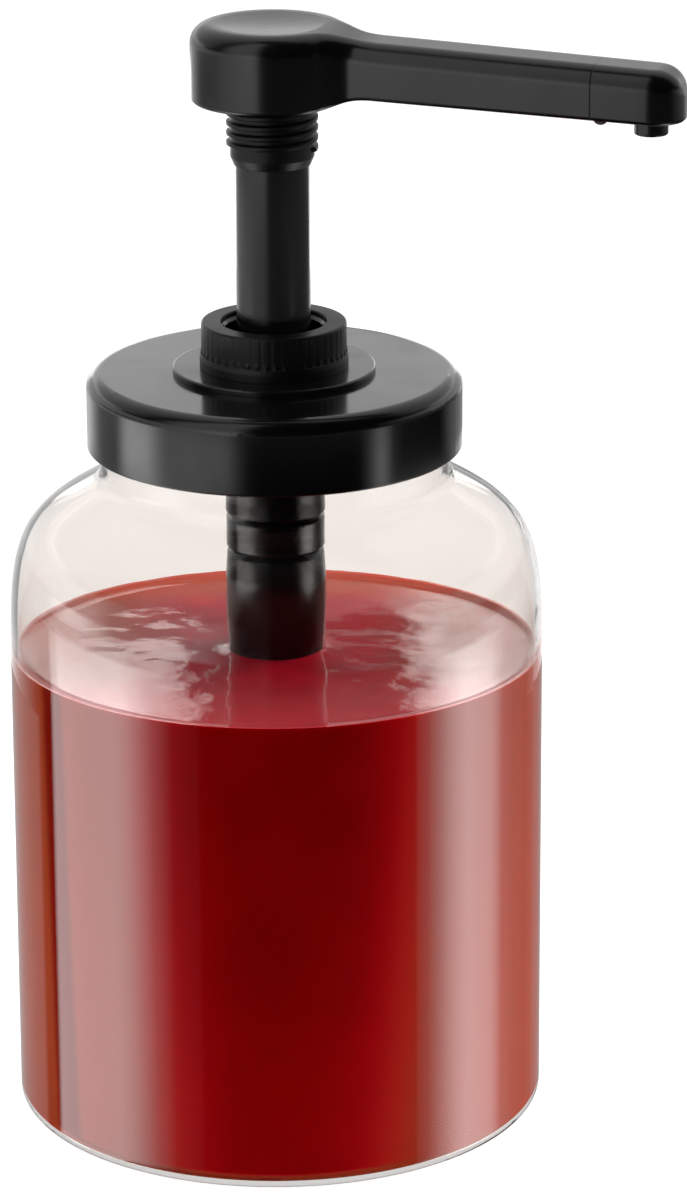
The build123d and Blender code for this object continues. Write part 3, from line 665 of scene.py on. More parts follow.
@dataclass(frozen=True)
class SyrupFinish(Finish):
    """Thick red syrup: dense and matt where the jar's wall wets it, glossy on its open surface.

    Behind the jar's wall its colour carries painted light and shade, by how far the wall slants away
    from the eye: from its body over a painted lit flank and painted shade to painted orange light at
    the rim, with a painted dark line on the left. Its open surface carries painted light from the
    jar's wall, which changes from the middle towards the sides, the front and the back.
    """

    body: Colour
    # Painted light and shade on the wall, by its slant from the eye: lit flank, shade, dark line, orange
    # rim light.
    flank_painted_light: Colour
    shade: Colour
    painted_dark_line: Colour
    rim_painted_light: Colour
    skin: Colour
    # Painted light on the open surface, from light through the jar's wall, towards its sides, front and
    # back.
    skin_side_painted_light: Colour
    skin_front_painted_light: Colour
    skin_back_painted_light: Colour
    glow_radius: Colour
    painted_flank_slant: Span = (0.07, 0.24)
    shade_slant: Span = (0.14, 0.27)
    dark_line_slant: Span = (0.41, 0.44)
    painted_rim_slant: Span = (0.50, 0.54)
    side_reach: Span = (18.0 * MM, 42.0 * MM)
    front_reach: Span = (14.0 * MM, 44.0 * MM)
    back_reach: Span = (-50.0 * MM, -32.0 * MM)
    level_faces: Span = (0.35, 0.60)
    cloudy: Span = (0.35, 0.65)
    cloud_scales: Span = (330.0, 55.0)
    cloud_share: float = 0.7
    body_cloud: float = 0.88
    skin_cloud: float = 0.75
    roughness: Span = (0.45, 0.55)
    subsurface: float = 0.5
    coat_roughness: float = 0.04
    coat_ior: float = 1.46
    wave_depth: float = 0.35 * MM
    wave_strength: float = 0.6

    def reach_along(self, sheet: Sheet, azimuth: float) -> Socket:
        """Returns how far each place lies from the axis in one direction.

        Args:
            sheet: The material's tree.
            azimuth: The direction, in degrees from the front towards the left.

        Returns:
            The distance, below 0 on the far side of the axis.
        """
        return sheet.dot(sheet.place(), tuple(ViewPoint().direction(azimuth)))

    def wall_colour(self, sheet: Sheet, cloud: Socket) -> Socket:
        """Colours the syrup behind the jar's wall, with painted light and shade by how far it slants from
        the eye.

        Args:
            sheet: The material's tree.
            cloud: How cloudy the syrup is at each place.

        Returns:
            The colour.
        """
        slant = sheet.add("ShaderNodeLayerWeight", blend=0.5).outputs["Facing"]
        on_left = sheet.math("GREATER_THAN", self.reach_along(sheet, 90.0), 0.0)
        # A painted dark line, on the left side of the wall only, by its slant from the eye.
        painted_dark_line = sheet.math("MULTIPLY", sheet.ramp(slant, self.dark_line_slant), on_left)
        colour = sheet.blend(cloud, rgba(self.body), rgba(self.body, self.body_cloud))
        # Painted light and shade by slant: a lit flank, shade, a dark line on the left, orange light at the
        # rim.
        colour = sheet.blend(sheet.ramp(slant, self.painted_flank_slant), colour, rgba(self.flank_painted_light))
        colour = sheet.blend(sheet.ramp(slant, self.shade_slant), colour, rgba(self.shade))
        colour = sheet.blend(painted_dark_line, colour, rgba(self.painted_dark_line))
        return sheet.blend(sheet.ramp(slant, self.painted_rim_slant), colour, rgba(self.rim_painted_light))

    def skin_colour(self, sheet: Sheet, cloud: Socket) -> Socket:
        """Colours the syrup's open surface, with painted light from the jar's wall towards its sides, front
        and back.

        Args:
            sheet: The material's tree.
            cloud: How cloudy the syrup is at each place.

        Returns:
            The colour.
        """
        aside = sheet.math("ABSOLUTE", self.reach_along(sheet, 90.0))
        forward = self.reach_along(sheet, 0.0)
        colour = sheet.blend(cloud, rgba(self.skin), rgba(self.skin, self.skin_cloud))
        # Painted light from the jar's wall, towards the sides, the front and the back.
        colour = sheet.blend(sheet.ramp(aside, self.side_reach), colour, rgba(self.skin_side_painted_light))
        colour = sheet.blend(sheet.ramp(forward, self.front_reach), colour, rgba(self.skin_front_painted_light))
        return sheet.blend(sheet.ramp(forward, self.back_reach), rgba(self.skin_back_painted_light), colour)

    def lay_out(self, sheet: Sheet, effects: Effects) -> Socket:
        """Joins the wall's colour and the open surface's, with a coat on the open surface alone."""
        open_top = sheet.ramp(sheet.axis(sheet.normal(), "Z"), self.level_faces)
        fine, slow = self.cloud_scales
        grain = effects.grain.use(sheet, Grain_Scale=fine, Wave_Scale=slow, Wave_Share=self.cloud_share)
        cloud = sheet.ramp(grain["Waves"], self.cloudy)
        waves = sheet.bump(self.wave_depth, grain["Height"], strength=self.wave_strength)
        colour = sheet.blend(open_top, self.wall_colour(sheet, cloud), self.skin_colour(sheet, cloud))
        shader = sheet.add(
            "ShaderNodeBsdfPrincipled",
            base_color=colour,
            roughness=sheet.ramp(cloud, (0.0, 1.0), self.roughness),
            specular_ior_level=0.0,
            subsurface_weight=self.subsurface,
            subsurface_radius=self.glow_radius,
            subsurface_scale=1.0,
            coat_weight=open_top,
            coat_roughness=self.coat_roughness,
            coat_ior=self.coat_ior,
        )
        sheet.feed(shader.inputs["Coat Normal"], waves.outputs["Normal"])
        return shader.outputs["BSDF"]


@dataclass(frozen=True)
class Wire(Finish):
    """Bright drawn steel wire."""

    colour: Colour
    roughness: Span
    dulling: float = 0.7
    grain_scale: float = 4000.0
    grain_depth: float = 0.01 * MM
    wave_share: float = 0.2
    smudge_scale: float = 120.0

    def lay_out(self, sheet: Sheet, effects: Effects) -> Socket:
        """Joins fine grain and dull patches in one metal shader."""
        grain = effects.grain.use(sheet, Grain_Scale=self.grain_scale, Wave_Share=self.wave_share)
        smudge = effects.smudges.use(sheet, Scale=self.smudge_scale)["Value"]
        bump = sheet.bump(self.grain_depth, grain["Height"], strength=0.5)
        shader = sheet.add(
            "ShaderNodeBsdfPrincipled",
            base_color=sheet.blend(smudge, rgba(self.colour), rgba(self.colour, self.dulling)),
            metallic=1.0,
            roughness=sheet.ramp(smudge, (0.0, 1.0), self.roughness),
            normal=bump.outputs["Normal"],
        )
        return shader.outputs["BSDF"]


RUBBED_BLACK: Colour = (0.02, 0.02, 0.02)
LID_BLACK = Moulded("lid_black", (0.0010, 0.0010, 0.0011), RUBBED_BLACK, (0.14, 0.19), 2200.0, 0.0015 * MM)
PUMP_BLACK = Moulded("pump_black", (0.0016, 0.0016, 0.0017), RUBBED_BLACK, (0.18, 0.24), 2600.0, 0.003 * MM)
HEAD_BLACK = Moulded("head_black", (0.0012, 0.0012, 0.0013), RUBBED_BLACK, (0.20, 0.26), 2600.0, 0.003 * MM)
SLEEVE_BLACK = replace(HEAD_BLACK, name="sleeve_black", roughness=(0.38, 0.46), gleam=0.28)
SEAL_BLACK = Moulded(
    "seal_black", (0.012, 0.012, 0.012), (0.05, 0.05, 0.05), (0.45, 0.60), 3200.0, 0.02 * MM, wave_share=0.3
)
LINER_WHITE = Moulded(
    "liner_white", (0.78, 0.77, 0.74), (0.85, 0.85, 0.83), (0.50, 0.65), 1500.0, 0.03 * MM, wave_share=0.4,
    subsurface=0.3,
)
NATURAL = Moulded(
    "natural_milky", (0.70, 0.70, 0.66), (0.80, 0.80, 0.78), (0.25, 0.35), 1800.0, 0.01 * MM, subsurface=0.6
)
SPRING_STEEL = Wire("spring_steel_wire", (0.62, 0.61, 0.59), (0.22, 0.37))
CLEAR = ClearPlastic(
    "clear_jar", tint=(0.845, 0.83, 0.812), bend=1.03, gloss=1.5, haze=0.03, wave_depth=0.02 * MM
)
SYRUP = SyrupFinish(
    "red_syrup_dense",
    body=(0.19, 0.0006, 0.0006),
    # Painted light and shade on the wall: lit flank, shade, dark line and orange light at the rim.
    flank_painted_light=(0.38, 0.003, 0.008),
    shade=(0.24, 0.026, 0.011),
    painted_dark_line=(0.13, 0.006, 0.003),
    rim_painted_light=(0.23, 0.034, 0.013),
    skin=(0.60, 0.012, 0.035),
    # Painted light on the open surface, towards its sides, front and back.
    skin_side_painted_light=(0.27, 0.055, 0.035),
    skin_front_painted_light=(0.39, 0.032, 0.046),
    skin_back_painted_light=(0.44, 0.060, 0.030),
    glow_radius=(0.006, 0.0008, 0.0006),
)


class Wardrobe:
    """Makes each finish once and dresses pieces in it."""

    def __init__(self) -> None:
        """Starts with the shared effects and no materials."""
        self.effects = Effects()
        self.made: dict[str, bpy.types.Material] = {}

    def material(self, finish: Finish) -> bpy.types.Material:
        """Returns the finish's material, made the first time it is asked for."""
        if finish.name not in self.made:
            self.made[finish.name] = finish.make(self.effects)
        return self.made[finish.name]

    def dress_node(self, name: str, finish: Finish) -> None:
        """Gives a node of the frame its finish.

        Args:
            name: The node's name.
            finish: The finish for all of its material slots.
        """
        for one in NODES[name].material_slots:
            one.material = self.material(finish)
        log.info("node %s: %s", name, finish.name)

    def dress_piece(self, piece: bpy.types.Object, finish: Finish, body: str) -> None:
        """Gives a new piece its finish and the body it rides on.

        Args:
            piece: The new piece.
            finish: Its finish.
            body: The body it moves with.
        """
        piece.data.materials.clear()
        piece.data.materials.append(self.material(finish))
        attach(piece, body)
        log.info("piece %s: %s, %d faces, on %s", piece.name, finish.name, len(piece.data.polygons), body)


# ------------------------------------------------------------
# The dispenser's sub-assemblies
# ------------------------------------------------------------


@dataclass(frozen=True)
class ThreadRidge:
    """A right-handed closure thread: a tapered ridge wound on a neck or in a bore."""

    name: str
    root_radius: float
    crest_radius: float
    start_height: float
    pitch: float = 4.2 * MM
    turns: float = 1.4
    root_width: float = 1.9 * MM
    crest_width: float = 0.9 * MM
    steps: int = 168
    run_out: int = 12
    smooth_under: float = math.radians(35)

    def build(self) -> bpy.types.Object:
        """Winds the ridge's profile into a helix, closes its ends and lets them run out.

        Returns:
            The new piece.
        """
        ridge = add_plane(self.name, size=1.0)
        with editing(ridge):
            bpy.ops.mesh.select_all(action="SELECT")
            bpy.ops.mesh.delete(type="ONLY_FACE")
        for vertex, corner in zip(ridge.data.vertices, self.profile()):
            vertex.co = corner
        wind = ridge.modifiers.new("wind", "SCREW")
        wind.axis = "Z"
        wind.angle = math.tau * self.turns
        wind.screw_offset = self.pitch * self.turns
        wind.steps = wind.render_steps = self.steps
        wind.use_merge_vertices = False
        apply_modifiers(ridge)
        self.fade_ends(ridge)
        with editing(ridge):
            bpy.ops.mesh.select_mode(type="EDGE")
            bpy.ops.mesh.select_non_manifold()
            bpy.ops.mesh.fill_holes(sides=len(self.profile()))
            bpy.ops.mesh.select_all(action="SELECT")
            bpy.ops.mesh.normals_make_consistent(inside=False)
        bpy.ops.object.shade_smooth_by_angle(angle=self.smooth_under)
        return ridge

    def profile(self) -> list[Vector]:
        """Returns the ridge's four corners in rows, root before crest, as a square's vertices run."""
        root, crest = self.root_width / 2, self.crest_width / 2
        return [
            Vector((self.root_radius, 0, self.start_height - root)),
            Vector((self.crest_radius, 0, self.start_height - crest)),
            Vector((self.root_radius, 0, self.start_height + root)),
            Vector((self.crest_radius, 0, self.start_height + crest)),
        ]

    def fade_ends(self, ridge: bpy.types.Object) -> None:
        """Draws the crest down to the root over the first and the last few steps.

        Args:
            ridge: The wound ridge.
        """
        corners = len(self.profile())
        middle = (self.root_radius + self.crest_radius) / 2
        outward = self.crest_radius > self.root_radius
        for vertex in ridge.data.vertices:
            radius = math.hypot(vertex.co.x, vertex.co.y)
            if (radius > middle) != outward:
                continue
            step = vertex.index // corners
            from_end = min(step, self.steps - step)
            share = min((from_end + 1) / self.run_out, 1.0)
            wanted = self.root_radius + (self.crest_radius - self.root_radius) * share
            vertex.co.x *= wanted / radius
            vertex.co.y *= wanted / radius


Nodes = dict[Finish, tuple[str, ...]]


@dataclass
class SubAssembly:
    """Nodes of the frame that belong together, by their finish."""

    nodes: Nodes = field(default_factory=dict)

    def build(self, wardrobe: Wardrobe) -> None:
        """Dresses the nodes."""
        for finish, names in self.nodes.items():
            for name in names:
                wardrobe.dress_node(name, finish)


@dataclass
class Syrup:
    """The syrup in the jar, with a rounded foot and a surface that is hollow and rippled.

    It reaches a little way into the wall that it wets. Its surface runs on unbroken through the pump,
    so that it is whole when the pump is lifted out.
    """

    jar_wall: float = 1.6 * MM
    jar_radius: float = 62.0 * MM
    jar_corner: float = 3.1 * MM
    level: float = field(default_factory=lambda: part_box("syrup_fill")[1][2])
    wetting: float = 1.2 * MM
    foot_wetting: float = 0.2 * MM
    segments: int = 256
    foot_segments: int = 6
    smooth_under: float = math.radians(50)
    wall_steps: tuple[float, ...] = (0.25 * MM, 0.6 * MM, 1.1 * MM, 1.9 * MM, 3.0 * MM)
    ring_step: float = 1.3 * MM
    tube_rings: tuple[float, ...] = (15.4 * MM, 14.4 * MM, 13.5 * MM, 12.8 * MM, 12.2 * MM, 11.7 * MM)
    tube_room: float = 16.5 * MM
    tube_radius: float = 11.3 * MM
    hollow: float = 0.9 * MM
    hollow_width: float = 4.5 * MM
    tube_rise: float = 0.35 * MM
    tube_rise_width: float = 6.0 * MM
    back_dip: float = 2.4 * MM
    back_curve: float = 1.5
    surface_depth: float = 4.0 * MM
    ripples: tuple[tuple[float, float], ...] = ((22.0 * MM, 0.75 * MM), (8.0 * MM, 0.25 * MM))
    calm_edge: float = 1.0 * MM
    calm_width: float = 24.0 * MM
    slack: float = 0.01 * MM

    @property
    def radius(self) -> float:
        """The syrup's radius, a little way into the jar's wall."""
        return self.jar_radius - self.jar_wall + self.wetting

    def ring_radii(self) -> list[float]:
        """Returns the radii of the surface's rings, closest together at the wall and at the tube."""
        radii = [self.radius - step for step in self.wall_steps]
        while radii[-1] > self.tube_room:
            radii.append(radii[-1] - self.ring_step)
        return [*radii, *self.tube_rings, self.tube_radius]

    def surface_height(self, radius: float) -> float:
        """Returns how far the still surface lies below or above the level.

        Args:
            radius: Distance from the axis.

        Returns:
            Height over the level: nothing at the wall, hollow inside, and up again at the tube.
        """
        from_wall = clamp((self.radius - self.wetting - radius) / self.hollow_width)
        from_tube = clamp((radius - self.tube_radius) / self.tube_rise_width)
        return -self.hollow * (1 - (1 - from_wall) ** 3) + self.tube_rise * (1 - from_tube) ** 3

    def build(self) -> bpy.types.Object:
        """Models the syrup as a cylinder, rounds its foot and shapes its surface ring by ring.

        Returns:
            The new piece.
        """
        bottom = self.jar_wall - self.foot_wetting
        foot = self.jar_corner - self.foot_wetting
        narrowing = math.cos(math.pi / self.segments)
        syrup = add_cylinder("syrup", self.radius, (bottom, self.level), self.segments, ends="NGON")
        with editing(syrup):
            pick_vertices(syrup, lambda place: place.z < bottom + self.slack)
            bpy.ops.mesh.bevel(offset=foot, segments=self.foot_segments, affect="EDGES")
            pick_vertices(syrup, lambda place: place.z > self.level - self.slack)
            previous = self.radius
            for radius in self.ring_radii():
                bpy.ops.mesh.inset(thickness=(previous - radius) * narrowing)
                previous = radius
        for radius in self.ring_radii():
            self.move_ring(syrup, radius, self.surface_height(radius))
        self.ripple(syrup)
        self.slosh(syrup)
        bpy.ops.object.shade_smooth_by_angle(angle=self.smooth_under)
        return syrup

    def move_ring(self, syrup: bpy.types.Object, radius: float, rise: float) -> None:
        """Lifts one ring of the surface.

        Args:
            syrup: The syrup being modelled.
            radius: The ring's radius.
            rise: How far it moves up.
        """

        def on_ring(place: Vector) -> bool:
            """Tells whether a place of the surface lies on the ring."""
            off_ring = abs(math.hypot(place.x, place.y) - radius)
            return place.z > self.level / 2 and off_ring < 4 * self.slack

        with editing(syrup):
            pick_vertices(syrup, on_ring)
            bpy.ops.transform.translate(value=(0, 0, rise))

    def ripple(self, syrup: bpy.types.Object) -> None:
        """Ripples the surface away from the wall, with two sizes of wave.

        Args:
            syrup: The syrup being modelled.
        """
        group = syrup.vertex_groups.new(name="surface")
        for vertex in syrup.data.vertices:
            radius = math.hypot(vertex.co.x, vertex.co.y)
            free = clamp((self.radius - self.calm_edge - radius) / self.calm_width)
            if vertex.co.z > self.level / 2 and free > 0:
                group.add([vertex.index], free, "REPLACE")
        for index, (size, height) in enumerate(self.ripples):
            texture = bpy.data.textures.new(f"ripple_{index}", "CLOUDS")
            texture.noise_scale = size
            texture.noise_depth = 1
            wave = syrup.modifiers.new(f"ripple_{index}", "DISPLACE")
            wave.texture = texture
            wave.texture_coords = "LOCAL"
            wave.direction = "Z"
            wave.strength = height
            wave.mid_level = 0.5
            wave.vertex_group = group.name
        apply_modifiers(syrup)

    def slosh(self, syrup: bpy.types.Object) -> None:
        """Leaves the surface a little lower behind the pump than in front of it.

        Args:
            syrup: The syrup being modelled.
        """
        back = -ViewPoint().direction(0.0)
        for vertex in syrup.data.vertices:
            if vertex.co.z > self.level - self.surface_depth:
                share = 0.5 + 0.5 * vertex.co.dot(back) / self.radius
                vertex.co.z -= self.back_dip * share**self.back_curve


@dataclass
class Jar(SubAssembly):
    """The clear jar and the syrup that stands in it."""

    nodes: Nodes = field(default_factory=lambda: {CLEAR: ("jar",), SYRUP: ("syrup_fill",)})
    syrup: Syrup = field(default_factory=Syrup)
    thread: ThreadRidge = ThreadRidge("jar_thread", 40.35 * MM, 41.0 * MM, 164.0 * MM)

    def build(self, wardrobe: Wardrobe) -> None:
        """Dresses the jar, puts the syrup in the place of its plain fill and winds the neck's thread."""
        super().build(wardrobe)
        syrup = self.syrup.build()
        wardrobe.dress_piece(syrup, SYRUP, "jar")
        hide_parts("syrup_fill")
        wardrobe.dress_piece(self.thread.build(), CLEAR, "jar")


@dataclass
class Lid(SubAssembly):
    """The screw lid, its liner and what clamps the pump in it."""

    nodes: Nodes = field(
        default_factory=lambda: {
            LID_BLACK: ("lid",),
            LINER_WHITE: ("lid_liner",),
            PUMP_BLACK: ("flange_disc",),
            SEAL_BLACK: ("body_gasket",),
        }
    )
    thread: ThreadRidge = ThreadRidge("lid_thread", 41.96 * MM, 41.3 * MM, 163.0 * MM)

    def build(self, wardrobe: Wardrobe) -> None:
        """Dresses the lid's pieces and winds its thread."""
        super().build(wardrobe)
        wardrobe.dress_piece(self.thread.build(), LID_BLACK, "lid_and_pump")


@dataclass
class Pump(SubAssembly):
    """The pump's fixed pieces, its valves and its moving plunger."""

    nodes: Nodes = field(
        default_factory=lambda: {
            PUMP_BLACK: ("pump_body", "stem_bush", "coupling_ring", "pump_cylinder", "stem"),
            SLEEVE_BLACK: ("locking_collar",),
            SEAL_BLACK: ("wiper_seal", "piston_seal"),
            NATURAL: ("inlet_cage", "outlet_cage", "dip_tube", "piston"),
            SPRING_STEEL: ("inlet_ball", "outlet_ball", "return_spring"),
        }
    )


@dataclass
class Head(SubAssembly):
    """The head that is pressed, with its lock-down sleeve and its spout."""

    nodes: Nodes = field(
        default_factory=lambda: {HEAD_BLACK: ("head", "spout_tip"), SLEEVE_BLACK: ("lock_sleeve",)}
    )


# ------------------------------------------------------------
# Studio
# ------------------------------------------------------------


def plain_view(sheet: Sheet) -> Socket:
    """Returns 1 for a camera ray, also past clear plastic, that nothing has reflected, and 0 otherwise."""
    path = sheet.add("ShaderNodeLightPath")
    straight = sheet.math("LESS_THAN", path.outputs["Glossy Depth"], 0.5)
    through = sheet.math("MULTIPLY", path.outputs["Is Transmission Ray"], straight)
    return sheet.math("MAXIMUM", path.outputs["Is Camera Ray"], through)


@dataclass(frozen=True)
class LightRing:
    """An upright band of light round the dispenser, whose radiance follows the azimuth.

    The stops are (azimuth in degrees from the camera's direction towards its left, radiance).
    """

    name: str
    radius: float
    heights: Span
    stops: Stops
    half_width: float = 180.0
    segments: int = 144

    def build(self, view: ViewPoint) -> None:
        """Makes the band, or only the arc of it that its half width leaves behind the dispenser.

        Args:
            view: The camera's viewpoint, from which azimuths are counted.
        """
        band = add_cylinder(self.name, self.radius, self.heights, self.segments, ends="NOTHING")
        if self.half_width < 180:
            back = view.direction(180.0)
            reach = self.radius * math.cos(math.radians(self.half_width))
            with editing(band):
                pick_vertices(band, lambda place: place.dot(back) < reach)
                bpy.ops.mesh.delete(type="VERT")
        band.data.materials.append(self.glow(view))
        band.visible_camera = False
        band.visible_shadow = False

    def glow(self, view: ViewPoint) -> bpy.types.Material:
        """Builds the band's material: nothing for the plain view, and light for the rest.

        Args:
            view: The camera's viewpoint.

        Returns:
            The material.
        """
        material, sheet = new_material(self.name)
        place = sheet.place()
        towards_camera = sheet.math("MULTIPLY", sheet.axis(place, "Y"), -1.0)
        around = sheet.math("ARCTAN2", sheet.axis(place, "X"), towards_camera)
        turns = sheet.math("DIVIDE", sheet.math("SUBTRACT", view.turn, around), math.tau)
        # Half a turn more puts azimuth 0 at the ramp's middle, and a whole one keeps the sum above 0.
        share = sheet.math("FRACT", sheet.math("ADD", turns, 1.5))
        ramp = sheet.add("ShaderNodeValToRGB")
        sheet.feed(ramp.inputs[0], share)
        peak = max(radiance for _, radiance in self.stops)
        elements = ramp.color_ramp.elements
        ramp.color_ramp.interpolation = "LINEAR"
        for index, (degrees, radiance) in enumerate(self.stops):
            position = (degrees + 180) / 360
            element = elements[index] if index < 2 else elements.new(position)
            element.position = position
            element.color = rgba((1, 1, 1), radiance / peak)
        glow = sheet.add("ShaderNodeEmission", color=ramp.outputs["Color"], strength=peak)
        clear = sheet.add("ShaderNodeBsdfTransparent")
        sheet.finish(sheet.mix(plain_view(sheet), glow.outputs["Emission"], clear.outputs["BSDF"]))
        return material


@dataclass(frozen=True)
class SoftLamp:
    """A broad lamp that lights matt surfaces and shows in no gloss."""

    name: str
    azimuth: float
    reach: float
    height: float
    size: float
    energy: float
    aim_height: float = 0.08
    colour: Colour = (1.0, 1.0, 1.0)

    def build(self, view: ViewPoint) -> None:
        """Hangs the lamp.

        Args:
            view: The camera's viewpoint, from which the azimuth is counted.
        """
        lamp = bpy.data.lights.new(self.name, "AREA")
        lamp.shape = "DISK"
        lamp.size = self.size
        lamp.energy = self.energy
        lamp.color = self.colour
        holder = bpy.data.objects.new(self.name, lamp)
        bpy.context.scene.collection.objects.link(holder)
        holder.location = view.direction(self.azimuth) * self.reach + Vector((0, 0, self.height))
        aim = holder.location - Vector((0, 0, self.aim_height))
        holder.rotation_euler = aim.to_track_quat("Z", "Y").to_euler()
        holder.visible_camera = False
        holder.visible_glossy = False
        holder.visible_transmission = False


JAR_SIDES: Stops = (
    (-120, 0.2), (-108, 0.4), (-99, 0.9), (-91, 3.3), (-77, 5.3), (-70, 4.4), (-64, 2.5), (-58, 0.8),
    (-53, 0.3), (-52, 0.0), (28, 0.0), (29, 0.06), (39, 0.1), (47, 1.1), (57, 3.8), (63, 4.8), (79, 3.9),
    (98, 2.9), (99, 0.0), (108, 0.0),
)
JAR_LIGHT: Stops = ((-180, 0.5), (-140, 0.3), *JAR_SIDES, (111, 0.4), (180, 0.5))
SHOULDER_LIGHT: Stops = (
    (-180, 1.1), (-150, 1.1), *JAR_SIDES, (120, 0.4), (150, 1.1), (180, 1.1),
)
NECK_LIGHT: Stops = (
    (-180, 1.1), (-150, 1.1), (-120, 0.2), (-95, 1.0), (-60, 1.0), (-48, 0.0), (30, 0.0), (55, 0.6),
    (62, 2.0), (78, 2.0), (88, 0.8), (120, 0.4), (150, 1.1), (180, 1.1),
)
LID_LIGHT: Stops = (
    (-180, 0.5), (-147, 0.4), (-125, 0.3), (-111, 0.0), (-76, 0.0), (-69, 0.2), (-61, 2.4), (-53, 0.4),
    (-48, 0.0), (11, 0.0), (16, 0.1), (20, 0.5), (27, 1.6), (46, 1.7), (62, 1.3), (66, 1.8), (72, 3.2),
    (77, 4.5), (90, 4.2), (95, 2.9), (99, 1.2), (103, 0.4), (122, 0.4), (141, 1.2), (180, 0.6),
)
COLLAR_LIGHT: Stops = (
    (-180, 0.3), (-120, 0.1), (-20, 0.08), (20, 0.15), (45, 0.2), (100, 0.35), (180, 0.3),
)
STEM_LIGHT: Stops = (
    (-180, 0.25), (-136, 0.2), (-115, 0.2), (-46, 0.35), (-15, 0.25), (6, 0.25), (19, 0.45), (46, 0.9),
    (75, 1.3), (102, 1.3), (142, 0.7), (180, 0.25),
)
HEAD_FRONT: Stops = ((-60, 0.0), (10, 0.0), (17, 0.2), (21, 1.5), (28, 1.7), (42, 1.5), (54, 1.2))
HEAD_LIGHT: Stops = (
    (-180, 0.8), (-140, 0.6), (-120, 0.1), *HEAD_FRONT, (68, 0.9), (82, 0.3), (99, 0.0), (119, 0.1),
    (138, 1.0), (180, 0.8),
)
RIM_LIGHT: Stops = (
    (-180, 0.8), (-140, 0.9), (-110, 0.9), (-85, 0.5), *HEAD_FRONT, (80, 0.9), (138, 1.0), (180, 0.8),
)
REAR_LIGHT: Stops = (
    (-180, 0.4), (-172, 0.6), (-166, 2.0), (-161, 1.0), (163, 1.0), (166, 0.25), (180, 0.25),
)
SURFACE_FAR_LIGHT: Stops = (
    (-180, 0.5), (-171, 0.5), (-168, 2.8), (-140, 2.8), (140, 2.4), (163, 2.4), (167, 0.25), (180, 0.25),
)
SURFACE_NEAR_LIGHT: Stops = (
    (-180, 0.2), (-170, 0.2), (-168, 2.6), (-140, 2.6), (140, 2.6), (172.5, 2.6), (174, 0.2), (180, 0.2),
)
TOP_LIGHT: Stops = (
    (-180, 1.35), (-150, 1.35), (-115, 1.3), (-100, 0.0), (17, 0.0), (21, 1.1), (54, 1.0), (82, 0.0),
    (100, 0.0), (115, 1.5), (150, 1.5), (180, 1.35),
)
HEAD_TOP_LIGHT: Stops = (
    (-180, 0.75), (-140, 0.75), (-100, 0.5), (-80, 0.0), (15, 0.0), (25, 1.0), (60, 1.0), (80, 0.0),
    (100, 0.5), (140, 0.75), (180, 0.75),
)


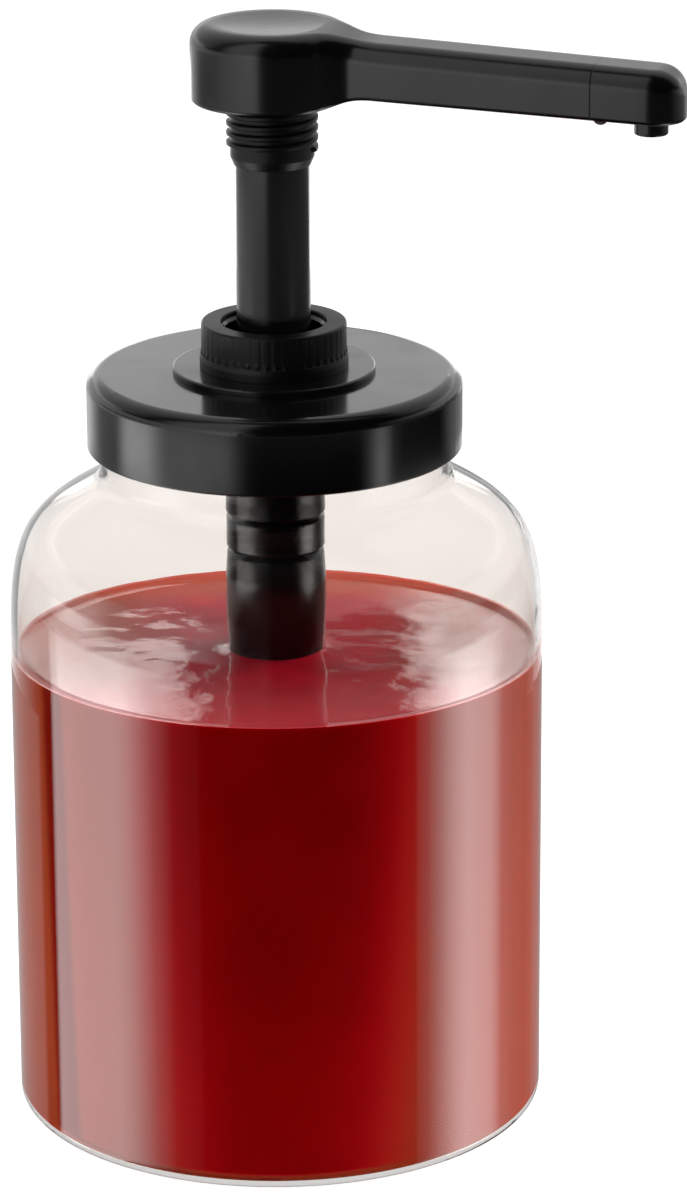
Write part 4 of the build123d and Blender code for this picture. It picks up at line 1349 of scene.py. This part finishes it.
@dataclass
class Studio:
    """Floor, white surroundings, bands of light and broad lamps."""

    view: ViewPoint = field(default_factory=ViewPoint)
    rings: tuple[LightRing, ...] = (
        LightRing("jar_light", 0.20, (-0.12, 0.046), JAR_LIGHT),
        LightRing("shoulder_light", 0.20, (0.046, 0.092), SHOULDER_LIGHT),
        LightRing("neck_light", 0.20, (0.092, 0.108), NECK_LIGHT),
        LightRing("lid_light", 0.20, (0.108, 0.129), LID_LIGHT),
        LightRing("collar_light", 0.60, (-0.03, 0.0245), COLLAR_LIGHT),
        LightRing("stem_light", 0.60, (0.0245, 0.0865), STEM_LIGHT),
        LightRing("head_light", 0.60, (0.0865, 0.130), HEAD_LIGHT),
        LightRing("rim_light", 0.60, (0.130, 0.300), RIM_LIGHT),
        LightRing("rear_light", 0.20, (0.129, 0.150), REAR_LIGHT, half_width=45.0),
        LightRing("surface_far_light", 0.20, (0.150, 0.164), SURFACE_FAR_LIGHT, half_width=30.0),
        LightRing("surface_near_light", 0.20, (0.164, 0.208), SURFACE_NEAR_LIGHT, half_width=30.0),
        LightRing("top_light", 0.60, (0.300, 0.3715), TOP_LIGHT),
        LightRing("head_top_light", 0.60, (0.3715, 3.00), HEAD_TOP_LIGHT),
    )
    lamps: tuple[SoftLamp, ...] = (
        SoftLamp("overhead", 0.0, 0.0, 1.9, 1.6, 44.0),
        SoftLamp("front_fill", -40.0, 1.5, 0.9, 1.2, 18.0),
        SoftLamp("warm_side", -120.0, 1.5, 0.35, 1.2, 40.0, colour=(1.0, 0.6, 0.4)),
    )
    floor_size: float = 8.0
    floor_drop: float = 0.05 * MM
    floor_lift: float = 0.78
    floor_glow: float = 1.19
    floor_colour: Colour = (0.90, 0.90, 0.90)
    fill: float = 0.03

    def build_floor(self) -> None:
        """Makes the pale floor, lit towards white for the camera, with its shadow, and in no gloss."""
        floor = add_plane("floor", self.floor_size, height=-self.floor_drop)
        material, sheet = new_material("pale_floor")
        matt = sheet.add("ShaderNodeBsdfDiffuse", color=rgba(self.floor_colour))
        glow = sheet.add("ShaderNodeEmission", color=rgba((1, 1, 1)), strength=self.floor_glow)
        nothing = sheet.add("ShaderNodeBsdfTransparent")
        glowing = sheet.math("MULTIPLY", plain_view(sheet), self.floor_lift)
        lifted = sheet.mix(glowing, matt.outputs["BSDF"], glow.outputs["Emission"])
        depth = sheet.add("ShaderNodeLightPath").outputs["Glossy Depth"]
        in_gloss = sheet.math("GREATER_THAN", depth, 0.5)
        sheet.finish(sheet.mix(in_gloss, lifted, nothing.outputs["BSDF"]))
        floor.data.materials.append(material)

    def build_world(self) -> None:
        """Makes a world that is white for the plain view and dim for everything else."""
        world = bpy.data.worlds.new("studio")
        world.use_nodes = True
        bpy.context.scene.world = world
        sheet = Sheet(world.node_tree)
        strength = sheet.math("MAXIMUM", plain_view(sheet), self.fill)
        background = sheet.add("ShaderNodeBackground", color=rgba((1, 1, 1)), strength=strength)
        sheet.add("ShaderNodeOutputWorld", surface=background.outputs["Background"])

    def build(self) -> None:
        """Sets up the whole studio."""
        self.view.build()
        self.build_floor()
        self.build_world()
        for light in (*self.rings, *self.lamps):
            light.build(self.view)
            log.info("light %s", light.name)
        bpy.context.scene.view_settings.view_transform = "Standard"


def main() -> None:
    """Builds the studio and dresses the dispenser, sub-assembly by sub-assembly."""
    logging.basicConfig(level=logging.INFO, format="%(message)s")
    Studio().build()
    wardrobe = Wardrobe()
    for assembly in (Jar(), Lid(), Pump(), Head()):
        log.info("building %s", type(assembly).__name__)
        assembly.build(wardrobe)


if __name__ == "__main__":
    main()
